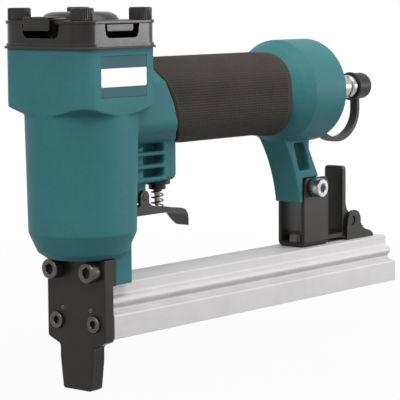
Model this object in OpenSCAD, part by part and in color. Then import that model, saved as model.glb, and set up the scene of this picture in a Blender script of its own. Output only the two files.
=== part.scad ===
// Pneumatic upholstery stapler, in millimetres.
// Frame: origin at the middle of the nose tip, on the axis of the driver. +Z is up along the barrel,
// +Y runs back along the handle and the magazine, and +X is across the tool.

/* [Nose] */
// Height of the magazine's underside above the nose tip
nose_reach = 21.8; // [18:0.1:26]
// Width of the nose plates
plate_w = 32; // [31:0.1:36]
// Thickness of the front nose plate
plate_t = 5.5; // [5:0.1:7]
// Thickness of the rear guide plate
guide_t = 2.3; // [1.8:0.1:3.5]
// Width of the nose tongue where it leaves the plate
tongue_w = 18.4; // [17:0.1:21]
// Width of the nose at its tip
tip_w = 15.6; // [15:0.1:17]
// Height at which the tongue starts to taper
tongue_taper_z = 13; // [8:0.5:14]
// Distance between the left and right nose screws
nose_screw_span = 20.4; // [20.2:0.1:21.6]
// Height of the lower nose screws above the magazine's underside
lower_screw_rise = 6.4; // [5.5:0.1:7]
// Height of the upper nose screws above the magazine's top
upper_screw_rise = 6.3; // [5:0.1:6.6]
// Depth that the lower screw heads sink into the front plate
screw_sink = 2.7; // [2:0.1:3]
// Diameter of the dowels that line up the nose plates
dowel_d = 2.4; // [2:0.1:2.8]

/* [Driver] */
// Crown width of the staple that the tool drives
staple_w = 12.8; // [12:0.1:13]
// Leg length of the longest staple
staple_leg = 14; // [12:0.5:15]
// Thickness of the driver blade
blade_t = 1.2; // [1:0.1:1.4]

/* [Magazine] */
// Width of the magazine's skirt
skirt_w = 35; // [33.6:0.1:38]
// Height of the skirt
skirt_h = 12.1; // [11.6:0.1:14]
// Step between the skirt and the bead
bead_step = 1.1; // [0.6:0.1:2]
// Radius of the half-round bead above the skirt
bead_r = 1.8; // [1.4:0.1:2.2]
// Width of the magazine's upper part
mag_top_w = 21; // [19:0.1:24]
// Height of the upper part above the bead
mag_top_h = 4.8; // [4.4:0.1:7]
// Length of the magazine behind the latch pin
mag_tail = 22.4; // [17.4:0.1:26]
// Wall of the staple rail
rail_wall = 1.2; // [1:0.1:1.4]

/* [Barrel] */
// Space between the magazine's top and the barrel's underside
lug_h = 11.1; // [10.8:0.1:15]
// Height of the barrel, up to the shoulder below the head
barrel_h = 58.5; // [54:0.5:66]
// Diameter of the barrel at its top
barrel_d = 46; // [45:0.1:50]
// Diameter of the barrel above its foot
barrel_low_d = 44.2; // [43.6:0.1:46]
// Height of the tapered foot of the barrel
foot_h = 10.5; // [9:0.1:12]
// Inner diameter of the cylinder liner
liner_bore_d = 35; // [32:0.5:35.5]
// Wall of the cylinder liner
liner_t = 1.5; // [1.2:0.1:1.7]
// Height of the piston
piston_h = 10; // [9:0.5:13]
// Height of the rubber bumper
bumper_h = 12.5; // [10:0.5:14]

/* [Head] */
// Side of the square head
head_side = 46; // [45.6:0.1:50]
// Corner radius of the head
head_r = 7.6; // [6:0.1:9]
// Height of the shoulder between the barrel and the head
shoulder_h = 4.3; // [3:0.1:6]
// Height of the head
head_h = 22.2; // [21:0.1:28]
// Thickness of the cap gasket
gasket_t = 0.9; // [0.6:0.1:1.5]
// How far the gasket stands out all round
gasket_lip = 1.1; // [0:0.1:2]
// Height of the cylinder cap
cap_h = 8.9; // [8:0.1:12]
// Thickness of the exhaust cover plate
cover_t = 1.4; // [1:0.1:2.5]
// Distance between neighbouring cap bolts
cap_bolt_span = 34.4; // [34.2:0.1:35]
// Lift of the head valve
valve_lift = 4; // [2:0.1:5]
// Length of the label plate
label_l = 27.2; // [20:0.1:30]
// Height of the label plate
label_h = 16.6; // [12:0.1:17.4]

/* [Handle] */
// Height of the handle's axis above the barrel's shoulder
handle_rise = 3; // [-0.5:0.1:7.5]
// Width of the grip
grip_w = 34; // [32:0.1:38]
// Height of the grip
grip_h = 36.4; // [35:0.1:40]
// Corner radius of the grip
grip_r = 14; // [12:0.1:15.5]
// Wall of the rubber grip sleeve
grip_t = 2.2; // [1.6:0.1:3]
// Front end of the grip on the handle's axis
grip_front_y = 38.8; // [36:0.1:44]
// Slant of the grip's front end
grip_slant = 30.7; // [20:0.1:36]
// Rear end of the grip
grip_rear_y = 118; // [110:0.5:130]
// Length of the cone between the grip and the drum
cone_l = 11.2; // [8:0.1:16]
// Diameter of the drum
drum_d = 47.2; // [45:0.1:52]
// Length of the drum's cylindrical band
drum_l = 23.6; // [20:0.1:28]
// Diameter of the air chamber in the handle
chamber_d = 22; // [18:0.5:24]

/* [Valve and trigger] */
// Distance of the valve's axis behind the barrel's axis
valve_y = 46.3; // [45:0.1:50]
// Depth of the valve block below the handle's axis
block_drop = 33.6; // [31:0.1:38]
// Width of the valve block
block_w = 16; // [15:0.1:20]
// Diameter of the valve stem
stem_d = 3.4; // [3:0.1:3.8]
// Distance of the trigger's pivot ahead of the valve's axis
trigger_arm = 16.3; // [15:0.1:16.6]
// Drop of the trigger's pivot below the valve block
pivot_drop = 5.6; // [5:0.1:7]
// Width of the trigger
trigger_w = 15; // [14.4:0.1:18]
// Thickness of the trigger's sheet
trigger_t = 1.5; // [1.2:0.1:1.8]
// Reach of the trigger's finger end behind the valve's axis
trigger_reach = 17.7; // [12:0.1:20]
// Width of the trigger's finger end
finger_w = 11; // [9:0.1:14]
// Drop of the trigger's web below its pivot
web_drop = 6.2; // [5.8:0.1:8]
// Diameter of the trigger pin
trigger_pin_d = 3; // [2.5:0.1:3.4]

/* [Leg and bracket] */
// Width of the leg
leg_w = 14; // [13:0.1:17]
// Gap between the leg's end and the magazine's top
leg_gap = 21.2; // [15:0.1:22]
// Radius of the leg's hollow front
leg_front_r = 65; // [58:1:80]
// Length of the bracket along the magazine
bracket_l = 19; // [17:0.1:22]
// Height of the bracket
bracket_h = 32.1; // [31:0.1:36]
// Thickness of the bracket's sheet
bracket_t = 1.8; // [1.4:0.1:2.2]

/* [Latch] */
// Distance of the latch pin behind the bracket
latch_gap = 20.8; // [20:0.1:30]
// Height of the latch pin above the magazine's top
latch_pin_rise = 9.1; // [7.4:0.1:10]
// Height of the latch lever above the magazine's top
lever_h = 35.4; // [28:0.1:42]
// Width of the latch lever
lever_w = 10.4; // [9:0.1:12]
// Thickness of the latch lever's plate
lever_t = 2.6; // [2:0.1:3]
// Diameter of the latch pin
latch_pin_d = 3; // [2.5:0.1:3.5]

/* [Air inlet] */
// Diameter of the tail cap in the drum
tail_d = 36; // [32:0.1:38]
// Thread diameter of the air plug
plug_thread_d = 13; // [11.6:0.1:14]
// Width across the flats of the plug's hexagon
plug_hex = 15; // [14:0.1:17]
// Diameter of the plug's body
plug_d = 11; // [10:0.1:11.4]
// Diameter of the plug's nipple
nipple_d = 9.2; // [8.5:0.1:9.6]
// Length of the nipple
nipple_l = 9; // [8:0.1:12]
// Outer diameter of the dust cap
dust_cap_d = 12.4; // [11.8:0.1:14]
// Depth of the strap's loop below the plug's axis
strap_drop = 24.6; // [20:0.1:30]
// Width of the strap
strap_w = 4; // [3:0.1:5]
// Thickness of the strap
strap_t = 2.2; // [1.8:0.1:2.4]

/* [Fasteners and fits] */
// Thread of the cap bolts, upper nose screws and bracket bolt
bolt_d = 5; // [4:0.1:5.2]
// Thread of the lower nose screws and magazine screws
screw_d = 4; // [3.2:0.1:4.2]
// Wire of the trigger, valve and latch springs
spring_wire = 0.6; // [0.5:0.05:0.65]
// Wire of the pusher spring
push_spring_wire = 0.7; // [0.5:0.05:0.9]
// Wire of the head valve spring
head_spring_wire = 1.2; // [0.9:0.1:1.5]
// Section of the O-rings on the cylinder, the piston and the tail cap
oring_wire = 1.8; // [1.5:0.1:2]
// Radial gap of a pin in its hole
run_gap = 0.05; // [0.02:0.01:0.1]
// Gap of pieces that slide past each other
slide_gap = 0.2; // [0.15:0.01:0.25]

/* [Hidden] */
$fn = 64;
// Overlap that keeps cuts and joins clean
eps = 0.01;
teal = "#41777b";
black = "#322e2b";
rubber_black = "#3a3634";
steel = "#b9babc";
alloy = "#cfcfd0";
nitrile = "#1e1e1e";
cream = "#cdc5b0";

// Socket cap screws: head diameter and key size for a thread; the head is as high as the thread is wide
function head_d(d) = 1.5 * d + 1;
function key_af(d) = d - 1;

// Levels of the magazine, from its underside
mag_z0 = nose_reach;
skirt_z1 = mag_z0 + skirt_h;
bead_z = skirt_z1 + bead_step + bead_r;
mag_z1 = bead_z + bead_r + mag_top_h;

// Levels of the barrel, the head and what is bolted on it
barrel_z0 = mag_z1 + lug_h;
foot_z1 = barrel_z0 + foot_h;
shoulder_z0 = barrel_z0 + barrel_h;
head_z0 = shoulder_z0 + shoulder_h;
head_z1 = head_z0 + head_h;
gasket_z1 = head_z1 + gasket_t;
cap_z1 = gasket_z1 + cap_h;
cover_z1 = cap_z1 + cover_t;

// Nose plates: the blade runs on the barrel's axis, against the guide plate
guide_y0 = blade_t / 2 + slide_gap;
guide_y1 = guide_y0 + guide_t;
plate_y0 = guide_y0 - plate_t;
blade_channel_w = staple_w + 2 * slide_gap;
plate_z0 = nose_reach - 3.6;
plate_corner = 2.8;
nose_screw_x = nose_screw_span / 2;
lower_screw_z = mag_z0 + lower_screw_rise;
upper_screw_z = mag_z1 + upper_screw_rise;
thread_reach = 9;
thread_relief = 0.5;
dowel_x = nose_screw_x - 2.4;
dowel_z = lower_screw_z + head_d(screw_d) / 2 + dowel_d / 2 + 0.5;
lug_w = nose_screw_span + bolt_d + 3.6;
lug_l = thread_reach + 2.2;

// Cylinder: floor, bumper, liner, piston and head valve, from below
body_bore_r = liner_bore_d / 2 + liner_t + 1;
floor_z1 = barrel_z0 + 4;
bumper_r = 13.8;
bumper_z1 = floor_z1 + bumper_h;
liner_z0 = foot_z1 + 1;
liner_z1 = head_z0 + 4.7;
collar_h = 5;
liner_oring_z = [liner_z0 + collar_h / 2, liner_z1 - collar_h / 2];
piston_r = liner_bore_d / 2 - 0.1;
piston_z1 = liner_z1 - 1.2;
piston_z0 = piston_z1 - piston_h;
piston_oring_z = piston_z1 - 3.4;
stroke = piston_z0 - bumper_z1 - 0.3;
blade_z0 = stroke + slide_gap;
blade_root = 6;
driver_pin_r = 1.4;
driver_pin_z = piston_z0 + blade_root / 2;
head_valve_r = body_bore_r - 0.1;
head_valve_z0 = liner_z1 + 0.1;
head_valve_z1 = head_z1 - valve_lift - 1;
seal_t = 1.5;
exhaust_r = 9;
head_spring_r = (exhaust_r + head_valve_r) / 2;
spring_pocket_h = 6;
head_spring_z0 = head_valve_z1 - spring_pocket_h;

// Cap: exhaust windows below the cover, dome and hood above it
cap_bolt_x = cap_bolt_span / 2;
bolt_reach = 12;
window_w = 20;
window_h = 5.6;
window_corner = 2.4;
cap_bore_r = 12;
baffle_t = 1.4;
baffle_slot_w = 5;
dome_r = [14.2, 9.4];
dome_h = 3.3;
cover_lip = 0.4;
hood_w = 14.2;
hood_out = 2.5;
hood_t = 1.5;
hood_drop = cover_t + 2.6;
label_sink = 0.6;
label_t = 0.5;
label_y = 0.7;
label_z0 = head_z0 + 2.9;

// Handle and drum
handle_z = shoulder_z0 + handle_rise;
neck_y0 = 12;
core_w = grip_w - 2 * grip_t;
core_h = grip_h - 2 * grip_t;
core_r = grip_r - grip_t;
neck_inset = 0.5;
cone_r0 = grip_w / 2 + 0.3;
drum_r = drum_d / 2;
drum_y0 = grip_rear_y + cone_l;
drum_y1 = drum_y0 + drum_l;
tail_r = tail_d / 2;
tail_l = 10;
tail_y0 = drum_y1 - tail_l;
tail_step = 1;
tail_oring_y = tail_y0 + tail_l / 2;

// Valve block, valve and trigger
block_z0 = handle_z - block_drop;
block_r = block_w / 2;
vent_z0 = block_z0 + 2.4;
vent_h = 16.2;
vent_y0 = 26;
vent_y1 = valve_y - 4.6;
vent_depth = 3.2;
fin_t = 1.6;
fin_pitch = 5.3;
valve_bore_d = 9.2;
valve_bore_l = 15;
bushing_flange_d = 11.2;
bushing_flange_t = 1.8;
bushing_neck_d = 7.4;
bushing_neck_l = 2.2;
bushing_l = 5.6;
bushing_z0 = block_z0 - bushing_flange_t - bushing_neck_l;
pivot_y = valve_y - trigger_arm;
pivot_z = block_z0 - pivot_drop;
ear_r = 2.7;
ear_side_gap = 0.4;
lug_r = ear_r + 0.2;
pivot_lug_w = trigger_w - 2 * trigger_t - 2 * ear_side_gap;
web_z1 = pivot_z - web_drop;
web_z0 = web_z1 - trigger_t;
trigger_y0 = pivot_y - 6.8;
web_fall = 1.2;
cheek_y1 = valve_y + 2.6;
finger_y = valve_y + trigger_reach;
bend_y = finger_y - 5.6;
finger_z = web_z1 - 8.2;
stem_r = stem_d / 2;
stem_tip_r = 1.2;
stem_tip_z = web_z1 + 0.5;
stem_disc_r = 3.6;
stem_disc_t = 2.4;
stem_oring_wire = 1;
stem_disc_z0 = block_z0 + bushing_l + stem_oring_wire + 0.1;
stem_top_l = 2;
trigger_spring_r = stem_r + spring_wire / 2 + 0.5;
valve_spring_r = stem_r + spring_wire / 2 + 0.6;
spring_gap = 0.05;

// Magazine channel, staple rail and pusher
mag_y0 = guide_y1;
channel_r = staple_w / 2 + 0.25;
lip_t = 0.8;
groove_gap = 0.1;
flange_t = 0.9;
flange_r = channel_r + 0.7;
rail_z0 = mag_z0 + lip_t + groove_gap;
rail_z1 = rail_z0 + staple_leg + 0.4;
rail_r = staple_w / 2 - 1.2;
rail_inner_r = rail_r - rail_wall;
rail_slot_w = 3.4;
catch_h = 1.5;
channel_z1 = rail_z1 + catch_h + 1.7;
pusher_y0 = mag_y0 + 0.5;
pusher_l = 16;
cheek_t = 0.9;
rod_r = 1.5;
rod_z = rail_z0 + 8.2;
push_spring_r = rod_r + push_spring_wire / 2 + 0.6;
end_block_l = 8;
hollow_w = 2.8;
hollow_wall = 1.5;

// Leg and bracket
leg_z0 = mag_z1 + leg_gap;
leg_toe_y = drum_y0 + 8.9;
leg_heel_y = leg_toe_y + 16;
leg_back_y = leg_toe_y + 7.6;
leg_arc_drop = 9;
pocket_depth = 4.4;
bracket_w = leg_w + 1;
bracket_y0 = leg_toe_y + 2.9;
bracket_y1 = bracket_y0 + bracket_l;
bracket_z1 = mag_z1 + bracket_h;
bracket_bend = 2.6;
bracket_corner = 2.2;
tenon_w = bracket_w - 2 * bracket_t - slide_gap;
heel_z = bracket_z1 + 0.4;
bracket_bolt_y = bracket_y0 + 7.2;
bracket_bolt_z = bracket_z1 - 4.5;
washer_t = 0.6;
washer_r = 0.9 * bolt_d;
nut_af = 1.6 * bolt_d;
nut_h = 2.7;
base_screw_l = bracket_t + 2.3;
screw_inset = 4.4;

// Latch
latch_y = bracket_y1 + latch_gap;
latch_z = mag_z1 + latch_pin_rise;
latch_base_t = 1.2;
latch_base_l = 21.2;
latch_base_y0 = latch_y - 4.6;
latch_base_y1 = latch_base_y0 + latch_base_l;
latch_ear_t = 1.5;
latch_ear_r = 3.2;
latch_bracket_w = lever_w + 2 * latch_ear_t + 2 * slide_gap;
latch_screw_inset = 4.2;
latch_screw_y = latch_base_y1 - latch_screw_inset;
lever_y0 = latch_y - 6.2;
lever_y1 = lever_y0 + lever_t;
lever_foot_y = bracket_y1 + 3;
lever_foot_t = 1.8;
lever_z0 = mag_z1 + latch_base_t + 0.6;
lever_z1 = mag_z1 + lever_h;
lever_tail_y = latch_y + 8.6;
lever_hub_r = 2.9;
tooth_w = 2.4;
tooth_l = 3;
tooth_z0 = rail_z1 + catch_h + 0.3;
tooth_swing = 3.4;
latch_spring_y = latch_y + 6.2;
latch_spring_r = 1.8;
mag_y1 = latch_y + mag_tail;
rail_y0 = mag_y0 + slide_gap;
rail_y1 = mag_y1 - 0.5;

// Air inlet, along the drum's axis
hub_l = 4.5;
hub_r = [14, 9];
ring_t = 2.5;
ring_w = 2.6;
neck_r = plug_thread_d / 2 - 0.5;
plug_y0 = tail_y0 + 2;
neck_y1 = drum_y1 + hub_l + ring_t + 0.3;
hex_y1 = neck_y1 + 8;
plug_body_l = 13.7;
body_y1 = hex_y1 + plug_body_l;
groove_l = 2;
collar_l = 3;
nipple_y0 = body_y1 + groove_l + collar_l;
nipple_y1 = nipple_y0 + nipple_l;
air_bore_r = 3;
dust_gap = 0.15;
dust_cap_y0 = nipple_y0 + 0.3;
dust_cap_y1 = nipple_y1 + 2.4;
strap_y0 = drum_y1 + hub_l + 0.15 + ring_t / 2;
strap_y1 = dust_cap_y0 + 4.8;
strap_boss = 1;
strap_z1 = handle_z - dust_cap_d / 2 - strap_boss;
strap_steps = 32;

// Rounded box standing on z = 0
module rounded_box(w, l, h, r) {
    translate([-w / 2, -l / 2 + r, 0]) cube([w, l - 2 * r, h]);
    translate([-w / 2 + r, -l / 2, 0]) cube([w - 2 * r, l, h]);
    for (x = [-1, 1], y = [-1, 1])
        translate([x * (w / 2 - r), y * (l / 2 - r), 0]) cylinder(r = r, h = h);
}

// Rounded bar along +Y, centred on the handle's axis
module handle_bar(w, h, r, y0, y1) {
    translate([0, y0, handle_z]) rotate([-90, 0, 0]) rounded_box(w, h, y1 - y0, r);
}

// Cylinder or cone along +Y at x and z
module rod_y(r, y0, y1, z, x = 0) {
    translate([x, y0, z]) rotate([-90, 0, 0]) cylinder(r = r, h = y1 - y0);
}

module cone_y(r0, r1, y0, y1, z) {
    translate([0, y0, z]) rotate([-90, 0, 0]) cylinder(r1 = r0, r2 = r1, h = y1 - y0);
}

// Cylinder along X, centred on x = 0
module rod_x(r, l, y, z) {
    translate([-l / 2, y, z]) rotate([0, 90, 0]) cylinder(r = r, h = l);
}

// Box between two corners, centred across x = 0
module bar(w, y0, y1, z0, z1) {
    translate([-w / 2, y0, z0]) cube([w, y1 - y0, z1 - z0]);
}

// Outline in the YZ plane, extruded along X and centred on x = 0
module side_plate(w) {
    translate([-w / 2, 0, 0]) rotate([90, 0, 90]) linear_extrude(w) children();
}

// Outline in the XZ plane, extruded along Y
module front_plate(y0, y1) {
    translate([0, y1, 0]) rotate([90, 0, 0]) linear_extrude(y1 - y0) children();
}

// Socket cap screw: the shank runs down from z = 0 and the head stands on z = 0
module cap_screw(d, l) {
    translate([0, 0, -l]) cylinder(d = d, h = l + eps);
    difference() {
        cylinder(d = head_d(d), h = d);
        translate([0, 0, d * 0.45]) cylinder(d = key_af(d) / cos(30), h = d, $fn = 6);
    }
}

// O-ring around the Z axis whose outside is at radius r
module oring(r, wire) {
    rotate_extrude() translate([r - wire / 2, 0]) circle(d = wire);
}

// Groove for an O-ring whose outside is at radius r
module oring_groove(r, wire) {
    difference() {
        translate([0, 0, -wire * 0.6]) cylinder(r = r + 1, h = wire * 1.2);
        translate([0, 0, -wire]) cylinder(r = r - wire - run_gap, h = wire * 2);
    }
}

// Coil spring along Z: one unbroken tube of six sides, with eight rings to a curl.
// Between two rings the wire runs straight, so it comes nearer the axis by this share of the radius.
coil_flat = cos(22.5);
function coil_centres(r, wire, l, curls) =
    [for (i = [0 : curls * 8]) [r * cos(i * 45), r * sin(i * 45), wire / 2 + (l - wire) * i / (curls * 8)]];
function coil_gap(c, wire) =
    min([for (i = [0 : len(c) - 5], j = [i + 4 : len(c) - 1]) norm(c[i] - c[j])]) - wire;
module coil_spring(name, r, wire, l, curls) {
    c = coil_centres(r, wire, l, curls);
    n = len(c);
    rise = (l - wire) / curls / (2 * PI);
    points = [for (i = [0 : n - 1], k = [0 : 5])
        let (a = i * 45, out = [cos(a), sin(a), 0], run = [-r * sin(a), r * cos(a), rise])
        c[i] + wire / 2 * (cos(k * 60) * out + sin(k * 60) * cross(out, run / norm(run)))];
    walls = [for (i = [0 : n - 2], k = [0 : 5]) let (p = i * 6 + k, q = i * 6 + (k + 1) % 6)
        each [[p, q, p + 6], [q, q + 6, p + 6]]];
    ends = [for (k = [1 : 4]) each [[0, k + 1, k], [6 * n - 6, 6 * n - 6 + k, 6 * n - 5 + k]]];
    echo(str(name, " least gap to itself: ", coil_gap(c, wire), " mm"));
    polyhedron(points = points, faces = concat(walls, ends));
}

// Half space in front of the grip's slanted end
module ahead_of_grip() {
    size = 200;
    translate([0, grip_front_y, handle_z]) rotate([grip_slant, 0, 0])
        translate([-size / 2, -size, -size / 2]) cube(size);
}

// Square head whose lower corners run down to the round barrel
module head_form() {
    corner_r = (head_side / 2 - head_r) * sqrt(2) + head_r;
    slope = (corner_r - barrel_d / 2) / shoulder_h;
    cut_h = shoulder_h + 1 / slope;
    difference() {
        translate([0, 0, shoulder_z0]) rounded_box(head_side, head_side, head_z1 - shoulder_z0, head_r);
        translate([0, 0, shoulder_z0]) difference() {
            translate([0, 0, -1]) cylinder(r = corner_r + 5, h = cut_h + 1);
            cylinder(r1 = barrel_d / 2, r2 = corner_r + 1, h = cut_h);
        }
    }
}

module barrel_form() {
    foot_r = barrel_low_d / 2;
    join = 1;
    rotate_extrude() polygon([[0, barrel_z0], [foot_r - 7.2, barrel_z0], [foot_r - 3.6, barrel_z0 + 2.5],
        [foot_r, foot_z1], [barrel_d / 2, shoulder_z0], [barrel_d / 2 - join, shoulder_z0 + join],
        [0, shoulder_z0 + join]]);
}

// Valve block before its vents are cut, widened by a gap
module block_post(gap) {
    bar(block_w + 2 * gap, 0, valve_y, block_z0, handle_z);
    translate([0, valve_y, block_z0]) cylinder(r = block_r + gap, h = handle_z - block_z0);
}

// Valve block between the barrel and the valve: finned vents in its sides, the trigger's lug below
module block_form() {
    difference() {
        block_post(0);
        difference() {
            bar(block_w + 1, vent_y0, vent_y1, vent_z0, vent_z0 + vent_h);
            bar(block_w - 2 * vent_depth, vent_y0 - 1, vent_y1 + 1, vent_z0 - 1, vent_z0 + vent_h + 1);
            for (i = [1 : 2]) let (z = vent_z0 + i * fin_pitch)
                bar(block_w + 2, vent_y0 - 1, vent_y1 + 1, z - fin_t, z);
        }
    }
    rod_x(lug_r, pivot_lug_w, pivot_y, pivot_z);
    bar(pivot_lug_w, pivot_y - lug_r, pivot_y + lug_r, pivot_z, block_z0 + eps);
}

// Leg below the drum: a hollow front, a slim end for the bracket and a pocket in each side
module leg_form() {
    arc_y = leg_toe_y - sqrt(pow(leg_front_r, 2) - pow(leg_arc_drop, 2));
    drum_z0 = handle_z - drum_r;
    root_z = handle_z - drum_r * 0.55;
    difference() {
        side_plate(leg_w) polygon([[grip_rear_y + 1, root_z], [leg_toe_y, leg_z0], [leg_heel_y, leg_z0],
            [leg_heel_y - 1, heel_z], [leg_back_y, drum_z0 - 3.4], [leg_back_y, root_z]]);
        rod_x(leg_front_r, leg_w + 2, arc_y, leg_z0 - leg_arc_drop);
        difference() {
            bar(leg_w + 2, bracket_y0 - slide_gap, leg_heel_y + 1, leg_z0 - 1, heel_z);
            bar(tenon_w, bracket_y0 - 1, leg_heel_y + 2, leg_z0 - 2, heel_z + 1);
        }
        difference() {
            side_plate(leg_w + 2) polygon([[leg_toe_y - 4.4, drum_z0 + 0.5], [leg_toe_y + 3.3, drum_z0 + 0.5],
                [leg_toe_y + 8.8, heel_z + 3], [leg_toe_y - 0.4, heel_z + 3]]);
            bar(leg_w - 2 * pocket_depth, leg_toe_y - 20, leg_heel_y, leg_z0, handle_z);
        }
        rod_x(bolt_d / 2 + run_gap, leg_w + 2, bracket_bolt_y, bracket_bolt_z);
    }
}

// Four holes for the cap bolts
module bolt_holes(z0, z1) {
    for (x = [-1, 1], y = [-1, 1])
        translate([x * cap_bolt_x, y * cap_bolt_x, z0]) cylinder(r = bolt_d / 2 + run_gap, h = z1 - z0);
}

// One painted casting: head, barrel, nose lug, valve block, neck, handle core, drum and leg
module housing() {
    color(teal) difference() {
        union() {
            barrel_form();
            head_form();
            bar(lug_w, guide_y1, guide_y1 + lug_l, mag_z1, barrel_z0 + 5);
            block_form();
            intersection() {
                handle_bar(grip_w - 2 * neck_inset, grip_h - 2 * neck_inset, grip_r - neck_inset,
                    neck_y0, grip_rear_y);
                ahead_of_grip();
            }
            handle_bar(core_w, core_h, core_r, neck_y0, grip_rear_y + 1);
            cone_y(cone_r0, drum_r, grip_rear_y, drum_y0, handle_z);
            rod_y(drum_r, drum_y0 - eps, drum_y1, handle_z);
            leg_form();
        }
        translate([0, 0, liner_z0]) cylinder(r = body_bore_r, h = head_z1 - liner_z0 + 1);
        translate([0, 0, floor_z1]) cylinder(r = bumper_r + slide_gap, h = liner_z0 - floor_z1 + 1);
        bar(blade_channel_w, -guide_y0, guide_y0, barrel_z0 - 1, floor_z1 + 1);
        rod_y(chamber_d / 2, neck_y0 + 3, tail_y0 - 8, handle_z);
        cone_y(chamber_d / 2, tail_r - tail_step, tail_y0 - 12, tail_y0 - 4, handle_z);
        rod_y(tail_r - tail_step, tail_y0 - 4 - eps, tail_y0 + 1, handle_z);
        rod_y(tail_r + run_gap, tail_y0, drum_y1 + 1, handle_z);
        translate([0, valve_y, block_z0 - 1]) cylinder(d = valve_bore_d, h = valve_bore_l + 1);
        translate([0, valve_y, block_z0]) cylinder(r = stem_r, h = handle_z - block_z0);
        rod_x(trigger_pin_d / 2 + run_gap, trigger_w, pivot_y, pivot_z);
        bolt_holes(head_z1 - bolt_reach - 1, head_z1 + 1);
        for (x = [-1, 1])
            rod_y(bolt_d / 2 + run_gap, guide_y1 - 1, guide_y1 + thread_reach + thread_relief, upper_screw_z,
                x * nose_screw_x);
        translate([head_side / 2 - label_sink, label_y - label_l / 2, label_z0]) cube([2, label_l, label_h]);
    }
}

module grip_sleeve() {
    color(rubber_black) difference() {
        handle_bar(grip_w, grip_h, grip_r, neck_y0, grip_rear_y);
        handle_bar(core_w, core_h, core_r, neck_y0 - 1, grip_rear_y + 1);
        ahead_of_grip();
        block_post(run_gap);
    }
}

// Plain plate in the recess on the head's side
module label_plate() {
    gap = 0.1;
    color("#47666c") translate([head_side / 2 - label_sink, label_y - label_l / 2 + gap, label_z0 + gap])
        cube([label_t, label_l - 2 * gap, label_h - 2 * gap]);
}

module cap_gasket() {
    side = head_side + 2 * gasket_lip;
    color(nitrile) difference() {
        translate([0, 0, head_z1]) rounded_box(side, side, gasket_t, head_r + gasket_lip);
        translate([0, 0, head_z1 - 1]) cylinder(r = body_bore_r - 1, h = gasket_t + 2);
        bolt_holes(head_z1 - 1, gasket_z1 + 1);
    }
}

// Window in a side of the cap that lets the used air out, narrower at its sill
module exhaust_window(turn) {
    half = window_w / 2;
    rotate([0, 0, turn]) front_plate(-head_side / 2 - 1, 0) translate([0, cap_z1 - window_h])
        polygon([[window_corner - half, 0], [half - window_corner, 0], [half, window_corner],
            [half, window_h + 1], [-half, window_h + 1], [-half, window_corner]]);
}

// Ring behind the windows, open at its corners, that slows the used air
module exhaust_baffle() {
    z0 = cap_z1 - window_h - eps;
    difference() {
        translate([0, 0, z0]) cylinder(r = exhaust_r + baffle_t, h = window_h);
        translate([0, 0, z0 - 1]) cylinder(r = exhaust_r, h = window_h + 2);
        for (turn = [45, 135]) rotate([0, 0, turn])
            bar(baffle_slot_w, -cap_bore_r, cap_bore_r, z0 + eps, cap_z1 + 1);
    }
}

module cylinder_cap() {
    inset = 0.2;
    side = head_side - 2 * inset;
    color(black) difference() {
        translate([0, 0, gasket_z1]) rounded_box(side, side, cap_h, head_r - inset);
        translate([0, 0, gasket_z1 - 1]) cylinder(r = exhaust_r, h = cap_h + 2);
        translate([0, 0, cap_z1 - window_h]) cylinder(r = cap_bore_r, h = window_h + 1);
        for (turn = [-90, 0, 90]) exhaust_window(turn);
        bolt_holes(gasket_z1 - 1, cap_z1 + 1);
    }
    color(black) exhaust_baffle();
}

module exhaust_cover() {
    side = head_side + 2 * cover_lip;
    color(black) difference() {
        union() {
            translate([0, 0, cap_z1]) rounded_box(side, side, cover_t, head_r + cover_lip);
            translate([0, 0, cover_z1]) cylinder(r1 = dome_r[0], r2 = dome_r[1], h = dome_h);
        }
        translate([0, 0, cap_z1 - eps])
            cylinder(r1 = dome_r[0] - cover_t, r2 = dome_r[1] - cover_t, h = dome_h);
        bolt_holes(cap_z1 - 1, cover_z1 + 1);
    }
}

// Hood over the front window that turns the used air down, away from the hand
module exhaust_deflector() {
    front = head_side / 2 + hood_out;
    color(black) {
        bar(hood_w, -front, -dome_r[0] - 0.8, cover_z1, cover_z1 + hood_t);
        bar(hood_w, -front, -head_side / 2 - cover_lip - slide_gap, cover_z1 - hood_drop, cover_z1 + hood_t);
    }
}

module cap_bolts() {
    color(black) for (x = [-1, 1], y = [-1, 1]) translate([x * cap_bolt_x, y * cap_bolt_x, cover_z1])
        cap_screw(bolt_d, cover_t + cap_h + gasket_t + bolt_reach);
}

// Liner with a collar at each end that seals in the housing
module cylinder_liner() {
    color(steel) difference() {
        union() {
            translate([0, 0, liner_z0]) cylinder(r = liner_bore_d / 2 + liner_t, h = liner_z1 - liner_z0);
            for (z = [liner_z0, liner_z1 - collar_h])
                translate([0, 0, z]) cylinder(r = body_bore_r - run_gap, h = collar_h);
        }
        translate([0, 0, liner_z0 - 1]) cylinder(r = liner_bore_d / 2, h = liner_z1 - liner_z0 + 2);
        for (z = liner_oring_z) translate([0, 0, z]) oring_groove(body_bore_r, oring_wire);
    }
}

module liner_orings() {
    color(nitrile) for (z = liner_oring_z) translate([0, 0, z]) oring(body_bore_r - run_gap, oring_wire);
}

// Space that the driver blade takes, widened by a gap
module blade_bar(gap, z0, z1) {
    bar(staple_w + 2 * gap, -blade_t / 2 - gap, blade_t / 2 + gap, z0, z1);
}

module bumper() {
    color(nitrile) difference() {
        union() {
            translate([0, 0, floor_z1]) cylinder(r = bumper_r, h = bumper_h * 0.6);
            translate([0, 0, floor_z1 + bumper_h * 0.6])
                cylinder(r1 = bumper_r, r2 = bumper_r - 3, h = bumper_h * 0.4);
        }
        blade_bar(0.5, floor_z1 - 1, bumper_z1 + 1);
    }
}

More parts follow.
